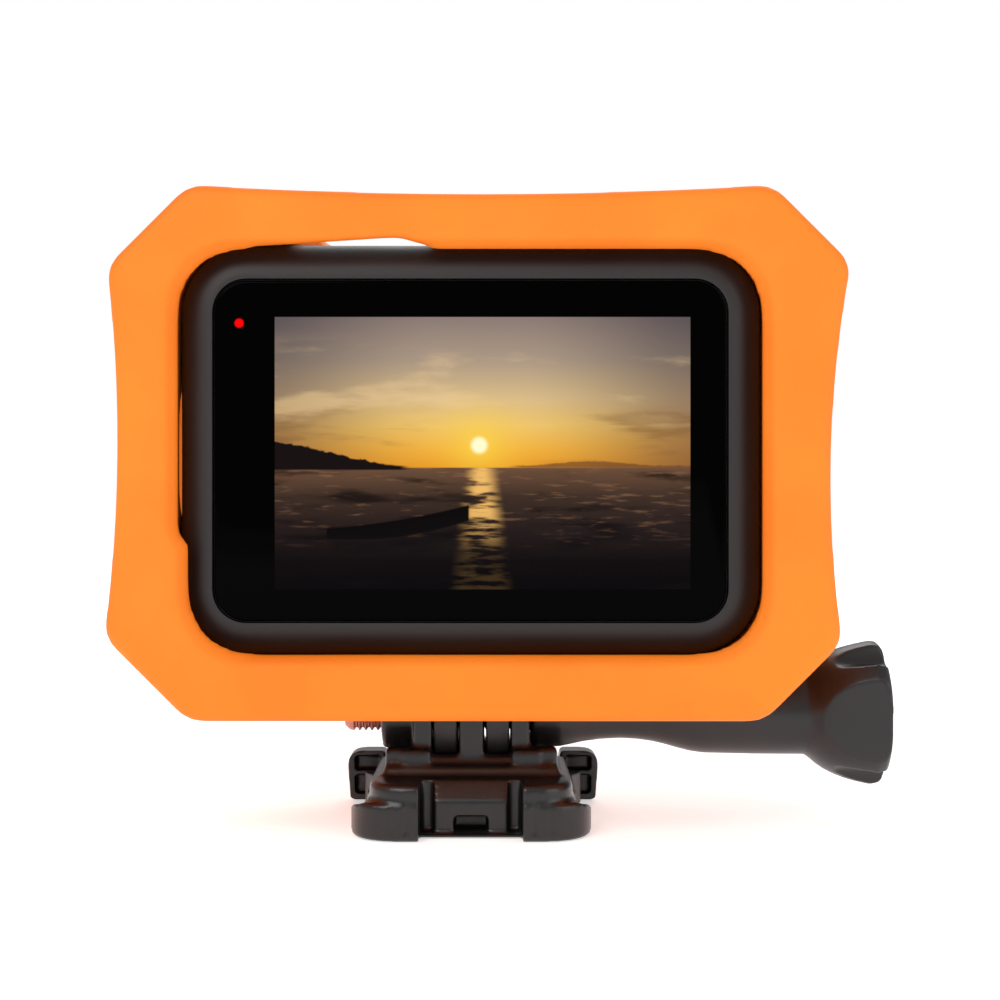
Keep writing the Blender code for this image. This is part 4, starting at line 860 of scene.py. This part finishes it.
def buckleSolids():
    # What stands on the rails
    size = buckleSize
    outline = noseOutline(size["deckHalf"], size["deckNose"], size["deckReach"], size["deckEnd"], 10)
    deck = slab("deck", outline, "Z", size["deckBottom"], size["deckTop"])
    roundRim(deck, "Z", size["deckTop"], size["deckRim"], 4)
    skirt = bevel(block("skirt", (-11.3, -8.8, 4.2), (11.3, 7.2, 8.3)), 1.0, 3)
    solids = [deck, skirt, bevel(block("pedestal", (-9, -7.6, 5.9), (9, 7.6, 9.4)), 0.5, 2)]
    radius, foot, edge, inner = size["prong"], size["prongFoot"], size["prongEdge"], size["prongInner"]
    prong = [(-radius, foot), (radius, foot)] + arc(axle, radius, 0, 180, 40)
    for low, high in ((-edge, -inner), (-size["middleProng"], size["middleProng"]), (inner, edge)):
        solids.append(slab("prong", prong, "X", low, high))
    boss = [(-11.8, 0), (-11.8, 4.4), (-11.4, 4.8), (-7.0, 4.8), (-7.0, 0)]
    solids.append(turned("boss", boss, "X", axle, 64))
    for side in (-1, 1):
        for low, high, near, far, top in shoulderBoxes:
            low, high = sorted((side * low, side * high))
            solids.append(bevel(block("shoulder", (low, near, 7.0), (high, far, top)), 0.4, 2))
    return solids


def makeBuckle():
    size = buckleSize
    outline = noseOutline(size["half"], size["nose"], size["noseReach"], size["end"], 12)
    rails = slab("buckle", outline, "Z", 0, size["railTop"])
    roundRim(rails, "Z", 0, size["railFoot"], 3)
    roundRim(rails, "Z", size["railTop"], size["railRim"], 2)
    gather(rails, size["voxel"], *buckleSolids())
    for side in (-1, 1):
        low, high = sorted((side * size["armRoom"], side * 16.5))
        cut(rails, block("armRoom", (low, size["armRoomStart"], -1), (high, 15, size["armRoomTop"])))
        near, far = size["middleProng"] + size["troughGap"], size["prongInner"] - size["troughGap"]
        low, high = sorted((side * near, side * far))
        cut(rails, rod("trough", size["trough"], "X", axle, low, high, 64))
    bore = rod("bore", size["bore"], "X", axle, -13, 9, 48)
    pocket = slab("nutPocket", arc(axle, size["nutCorner"], 0, 300, 5), "X", -13, size["nutFloor"])
    dimple = rod("dimple", 0.55, "Y", (-9.9, 11.5), -11.3, -4.2, 24)
    cut(rails, bore, pocket, dimple)
    cutNose(rails)
    sill = slab("sill", roundedBox((-6.5, -13.4), (6.5, -9.0), 0.6, 3), "Z", 0.1, 0.5)
    return soften(rails, size["voxel"], size["smooth"], sill)


def cutNose(rails):
    size = buckleSize
    face = size["tongueFace"]
    for side in (-1, 1):
        low, high = sorted((side * 4.6, side * 6.4))
        cut(rails, block("noseSlot", (low, -17, -1), (high, size["slotEnd"], 8)))
        for x in (7.9, 9.9):  # flutes down the front of each side lobe
            cut(rails, rod("flute", size["flute"], "Z", (side * x, size["fluteMiddle"]), 0.8, 6.0, 20))
    tongueFace = block("tongueFace", (-5.5, -17, -1), (5.5, face, 8))
    lip = slab("tongueBevel", [(-15, 4.3), (face, 4.45), (-10.8, 7.0), (-15, 8)], "X", -5.7, 5.7)
    cut(rails, tongueFace, lip, block("noseWindow", (-2.15, -20, 0.6), (2.15, -9.3, 2.6)))
    fall = [(-13.6, 4.5), (-5.9, 2.3), (-5.9, 6.5), (-13.6, 6.5)]
    for low, high in ((-16.5, -13.1), (13.1, 16.5)):  # each flange falls away behind its front edge
        cut(rails, slab("flangeFall", fall, "X", low, high))


ready(makeBuckle(), bucklePaint, "buckle", "buckle", "buckle_base", angle=50)
print("buckle made")


# ---- squeeze arms
armSize = {
    "pivot": (12.2, -7.0), "knuckle": 1.1, "low": 0.4, "high": 4.6, "neck": 0.6, "inner": 11.0, "outer": 13.4,
    "start": -5.8, "end": 10.8, "barb": 14.8, "barbStart": 5.0, "barbTip": 7.8, "barbEnd": 8.5,
    "tabInner": 12.1, "tabOuter": 17.5, "tabTop": 7.2, "tabBack": 9.8, "tabFront": 13.4, "ridge": 0.3,
    "ridgeLow": 1.4, "ridgeStep": 1.15, "voxel": 0.2, "smooth": 3,
}


def tabOutline(side):
    # Seen from the nose: a plate that leans out a little, round at its top outer corner
    inner, outer, low, top = armSize["tabInner"], armSize["tabOuter"], armSize["low"], armSize["tabTop"]
    corners = [(armSize["inner"], low, 0.3), (outer - 0.5, low, 0.6), (outer, top, 2.4), (inner, top, 0.5)]
    return [(side * x, z) for x, z in eased(corners, 8)]


def makeArm(name, side):
    size = armSize
    bottom, top, inner, outer = size["low"], size["high"], size["inner"], size["outer"]
    x, y = size["pivot"]
    arm = rod(name, size["knuckle"], "Z", (side * x, y), bottom, top, 40)
    low, high = sorted((side * (x - size["neck"]), side * (x + size["neck"])))
    fuse(arm, block("neck", (low, y, bottom), (high, -5.0, top)))
    barb, start, end = size["barb"], size["start"], size["end"]
    blade = [
        (inner, start), (outer, start), (outer, size["barbStart"]), (barb, size["barbTip"]),
        (barb, size["barbEnd"]), (outer, size["barbEnd"]), (outer, end), (inner, end),
    ]
    fuse(arm, slab("blade", [(side * x, y) for x, y in blade], "Z", bottom, top))
    fuse(arm, slab("tab", tabOutline(side), "Y", size["tabBack"], size["tabFront"]))
    for low, high, foot, head in ((12.7, 16.3, 4.5, 6.5), (13.4, 16.3, 1.2, 3.9)):
        # two panels sunk in the tab's near face
        near, far = sorted((side * low, side * high))
        cut(arm, slab("panel", roundedBox((near, foot), (far, head), 0.5, 4), "Y", 9, 10.9))
    for step in range(4):  # thumb ridges on the tab's outer wall
        z = size["ridgeLow"] + size["ridgeStep"] * step
        reach = 17.12 + 0.07 * z
        cut(arm, rod("ridge", size["ridge"], "Y", (side * reach, z), 10.4, 14, 16))
    return soften(arm, size["voxel"], size["smooth"])


ready(makeArm("leftArm", -1), bucklePaint, "buckle", "left_arm", "left_spring_arm", angle=50)
ready(makeArm("rightArm", 1), bucklePaint, "buckle", "right_arm", "right_spring_arm", angle=50)
print("squeeze arms made")


# ---- thumbscrew
knobLook = {
    "light": (28, 26, 27), "dark": (20, 18, 19), "grain": 0.14, "depth": 0.012, "rough": 0.36, "drift": 8,
}
knobSize = {
    "end": 53.8, "flatHeight": 22.15, "flatSlope": 9, "lobes": 3, "lobeTurn": -1, "grooveOut": 9.9,
    "groove": 2.1, "seat": 2.65, "voxel": 0.24, "smooth": 3,
}
knobPaint = mouldedFinish("knobPlastic", knobLook)
boltPaint = brushedFinish("boltSteel", {
    "light": (206, 150, 136), "dark": (150, 96, 86), "line": 0.3, "stretch": (5, 1, 1), "rough": 0.34,
    "depth": 0.006,
})


def makeKnob():
    size = knobSize
    end, height = size["end"], size["flatHeight"]
    profile = [
        (7.7, 0), (7.7, 4.3), (8.0, 4.6), (11.4, 4.6), (13.0, 4.28), (14.7, 3.9), (17.0, 3.62), (19.6, 3.5),
        (21.8, 3.62), (23.8, 3.9), (25.4, 4.28), (26.9, 4.7), (28.6, 5.14), (30.4, 5.4), (37, 5.55),
        (43.8, 5.6), (44.5, 6.1), (45.3, 6.8), (46.4, 7.55), (47.7, 8.2), (49.0, 8.7), (50.4, 9.1),
        (52.2, 9.5), (53.2, 9.3), (53.65, 8.8), (end, 8.2), (end, 6.2), (53.5, 5.9), (53.5, 0),
    ]
    knob = turned("thumbKnob", profile, "X", axle, 128)
    for lobe in range(size["lobes"]):
        middle = size["lobeTurn"] + 120 * lobe
        angle = math.radians(middle + 60)
        centre = (-math.cos(angle) * size["grooveOut"], axle[1] + math.sin(angle) * size["grooveOut"])
        groove = [(46.5, 0), (46.8, 1.7), (47.4, size["groove"]), (56, size["groove"]), (56, 0)]
        cut(knob, turned("groove", groove, "X", centre, 32))
        flat = block("flat", (42.5, -8, height), (58, 8, height + 5.05))
        swing(flat, size["flatSlope"], "Y", (end, 0, height))
        cut(knob, swing(flat, middle - 90, "X", (0, *axle)))
    cut(knob, rod("seat", size["seat"], "X", axle, 7, 26.3, 48))
    return soften(knob, size["voxel"], size["smooth"])


boltSize = {"radius": 2.5, "root": 2.12, "pitch": 0.8, "seatEnd": 26, "threadStart": 6, "threadEnd": -15.6}


def makeBolt():
    size = boltSize
    radius, root, start = size["radius"], size["root"], size["threadStart"]
    profile = [(size["seatEnd"], 0), (size["seatEnd"], radius), (start, radius)]
    turns = int((start - size["threadEnd"]) / size["pitch"])
    for turn in range(turns):  # the thread, as close rings
        along = start - turn * size["pitch"]
        for down, reach in ((0.1, radius), (0.35, root), (0.5, root), (0.75, radius)):
            profile.append((along - down, reach))
    profile.extend([(-16.1, 2.4), (-16.7, 1.9), (-16.7, 1.2), (-16.4, 1.0), (-16.4, 0)])
    return turned("bolt", profile, "X", axle, 64)


ready(makeKnob(), knobPaint, "knob", "thumbscrew", "thumbscrew_knob", angle=50)
ready(makeBolt(), boltPaint, "bright_steel", "thumbscrew", "thumbscrew_bolt")
print("thumbscrew made")


# ---- finishes for the solids that stay as they are
def paintCircuit():
    finish = Finish("circuitBoard", specular=0.5)
    lanes = finish.spots(1.7, "DISTANCE_TO_EDGE")
    drift = finish.noise(5, 3)
    green = finish.mix(drift, hue(14, 70, 40), hue(24, 92, 52))
    finish.set("Base Color", finish.mix(1 - finish.step(lanes, 0.03, 0.08), green, hue(150, 118, 60)))
    finish.set("Roughness", 0.35 + 0.2 * drift)
    finish.bump(finish.step(lanes, 0.03, 0.08), 0.02)
    return finish.material


def paintDisplay(name, colour):
    # A dark panel with fine rows of dots
    finish = Finish(name, specular=0.5)
    dots = finish.spots(0.3)
    finish.set("Base Color", finish.mix(finish.step(dots, 0.1, 0.5), hue(*colour), hue(4, 4, 6)))
    finish.set("Roughness", 0.15 + 0.1 * finish.noise(4, 2))
    return finish.material


def paintLamp():
    finish = Finish("statusLamp", specular=0.5, emission_strength=1.0)
    haze = finish.noise(0.5, 2)
    finish.set("Base Color", finish.mix(haze, hue(150, 8, 8), hue(200, 20, 16)))
    finish.set("Emission Color", finish.mix(haze, hue(170, 2, 6), hue(210, 4, 8)))
    finish.set("Roughness", 0.2 + 0.1 * haze)
    return finish.material


plainPaint = {
    "housing": housingPaint, "fingers": fingerPaint, "screen_glass": blackPaint, "lens_trim": trimPaint,
    "lens_glass": lensReflectionPaint, "buttons": buttonPaint, "buckle": bucklePaint, "knob": knobPaint,
    "circuit": paintCircuit(), "status_light": paintLamp(), "float_foam": foamPaint,
    "display": paintDisplay("darkPanel", (16, 16, 20)),
    "copper": brushedFinish("copperSheet", {
        "light": (214, 138, 96), "dark": (150, 84, 54), "line": 0.5, "stretch": (1, 1, 4), "rough": 0.3,
        "depth": 0.005,
    }),
    "bright_steel": brushedFinish("brightSteel", {
        "light": (206, 206, 208), "dark": (140, 140, 144), "line": 0.3, "stretch": (1, 4, 1), "rough": 0.28,
        "depth": 0.005,
    }),
    "cell": mouldedFinish("cellWrap", {
        "light": (92, 96, 104), "dark": (66, 70, 78), "grain": 0.5, "depth": 0.01, "rough": 0.38, "drift": 8,
    }),
    "seal": mouldedFinish("sealRubber", {
        "light": (150, 44, 30), "dark": (112, 30, 22), "grain": 0.14, "depth": 0.01, "rough": 0.7, "drift": 4,
    }),
}
slotOf = {name: node.data.materials[0].name for name, node in nodes.items()}
for name, node in nodes.items():
    node.data.materials.clear()
    node.data.materials.append(plainPaint[slotOf[name]])
print("finishes on the kept solids:", sorted(set(slotOf.values())))


# ---- floor, lights and camera
studioLook = {"floor": (250, 250, 250), "glow": 0.5, "sky": 0.52, "key": 2.9, "fill": 1.3, "back": 1.8}


def makeFloor():
    bpy.ops.object.select_all(action="DESELECT")
    bpy.ops.mesh.primitive_plane_add(size=8, location=(0, 0, -0.05 * mm))
    floor = bpy.context.object
    floor.name = "floor"
    bpy.ops.object.transform_apply(location=True)
    glow = studioLook["glow"]
    finish = Finish("palePaper", specular=0.1, emission_color=(1, 1, 1, 1), emission_strength=glow)
    fibre = finish.noise(4, 3)
    finish.set("Base Color", finish.mix(fibre, hue(*studioLook["floor"]), hue(254, 254, 254)))
    finish.set("Roughness", 0.8 + 0.1 * fibre)
    floor.data.materials.append(finish.material)


def addLamp(name, power, size, place, target):
    lamp = bpy.data.lights.new(name, "AREA")
    lamp.shape = "RECTANGLE"
    lamp.size, lamp.size_y = size
    lamp.energy = power
    item = bpy.data.objects.new(name, lamp)
    bpy.context.scene.collection.objects.link(item)
    item.location = place
    item.rotation_euler = (Vector(target) - Vector(place)).to_track_quat("-Z", "Y").to_euler()


def makeStudio():
    world = bpy.data.worlds.new("studio")
    bpy.context.scene.world = world
    world.use_nodes = True
    tree = world.node_tree
    shown = tree.nodes["Background"]
    shown.inputs["Color"].default_value = (1, 1, 1, 1)
    light = tree.nodes.new("ShaderNodeBackground")
    light.inputs["Color"].default_value = (1, 1, 1, 1)
    light.inputs["Strength"].default_value = studioLook["sky"]
    pathNode = tree.nodes.new("ShaderNodeLightPath")
    blend = tree.nodes.new("ShaderNodeMixShader")
    tree.links.new(pathNode.outputs["Is Camera Ray"], blend.inputs["Fac"])
    tree.links.new(light.outputs[0], blend.inputs[1])
    tree.links.new(shown.outputs[0], blend.inputs[2])
    tree.links.new(blend.outputs[0], tree.nodes["World Output"].inputs["Surface"])
    middle = (0, 0, 0.045)
    addLamp("keyLight", studioLook["key"], (0.5, 0.4), (-0.35, -0.62, 0.55), middle)
    addLamp("fillLight", studioLook["fill"], (0.5, 0.5), (0.62, -0.45, 0.28), middle)
    addLamp("backLight", studioLook["back"], (0.6, 0.3), (0.1, 0.6, 0.6), middle)


cameraLook = {"place": (2.5, -209, 42.5), "lens": 56.8, "sensor": 36, "shift": (0.009, -0.004)}


def makeCamera():
    camera = bpy.data.cameras.new("camera")
    camera.lens = cameraLook["lens"]
    camera.sensor_width = cameraLook["sensor"]
    camera.shift_x, camera.shift_y = cameraLook["shift"]
    camera.clip_start, camera.clip_end = 0.005, 50
    item = bpy.data.objects.new("camera", camera)
    bpy.context.scene.collection.objects.link(item)
    item.location = Vector(cameraLook["place"]) * mm
    item.rotation_euler = (math.pi / 2, 0, 0)
    bpy.context.scene.camera = item


makeFloor()
makeStudio()
makeCamera()
bpy.context.scene.view_settings.view_transform = "Standard"
print("studio set up")
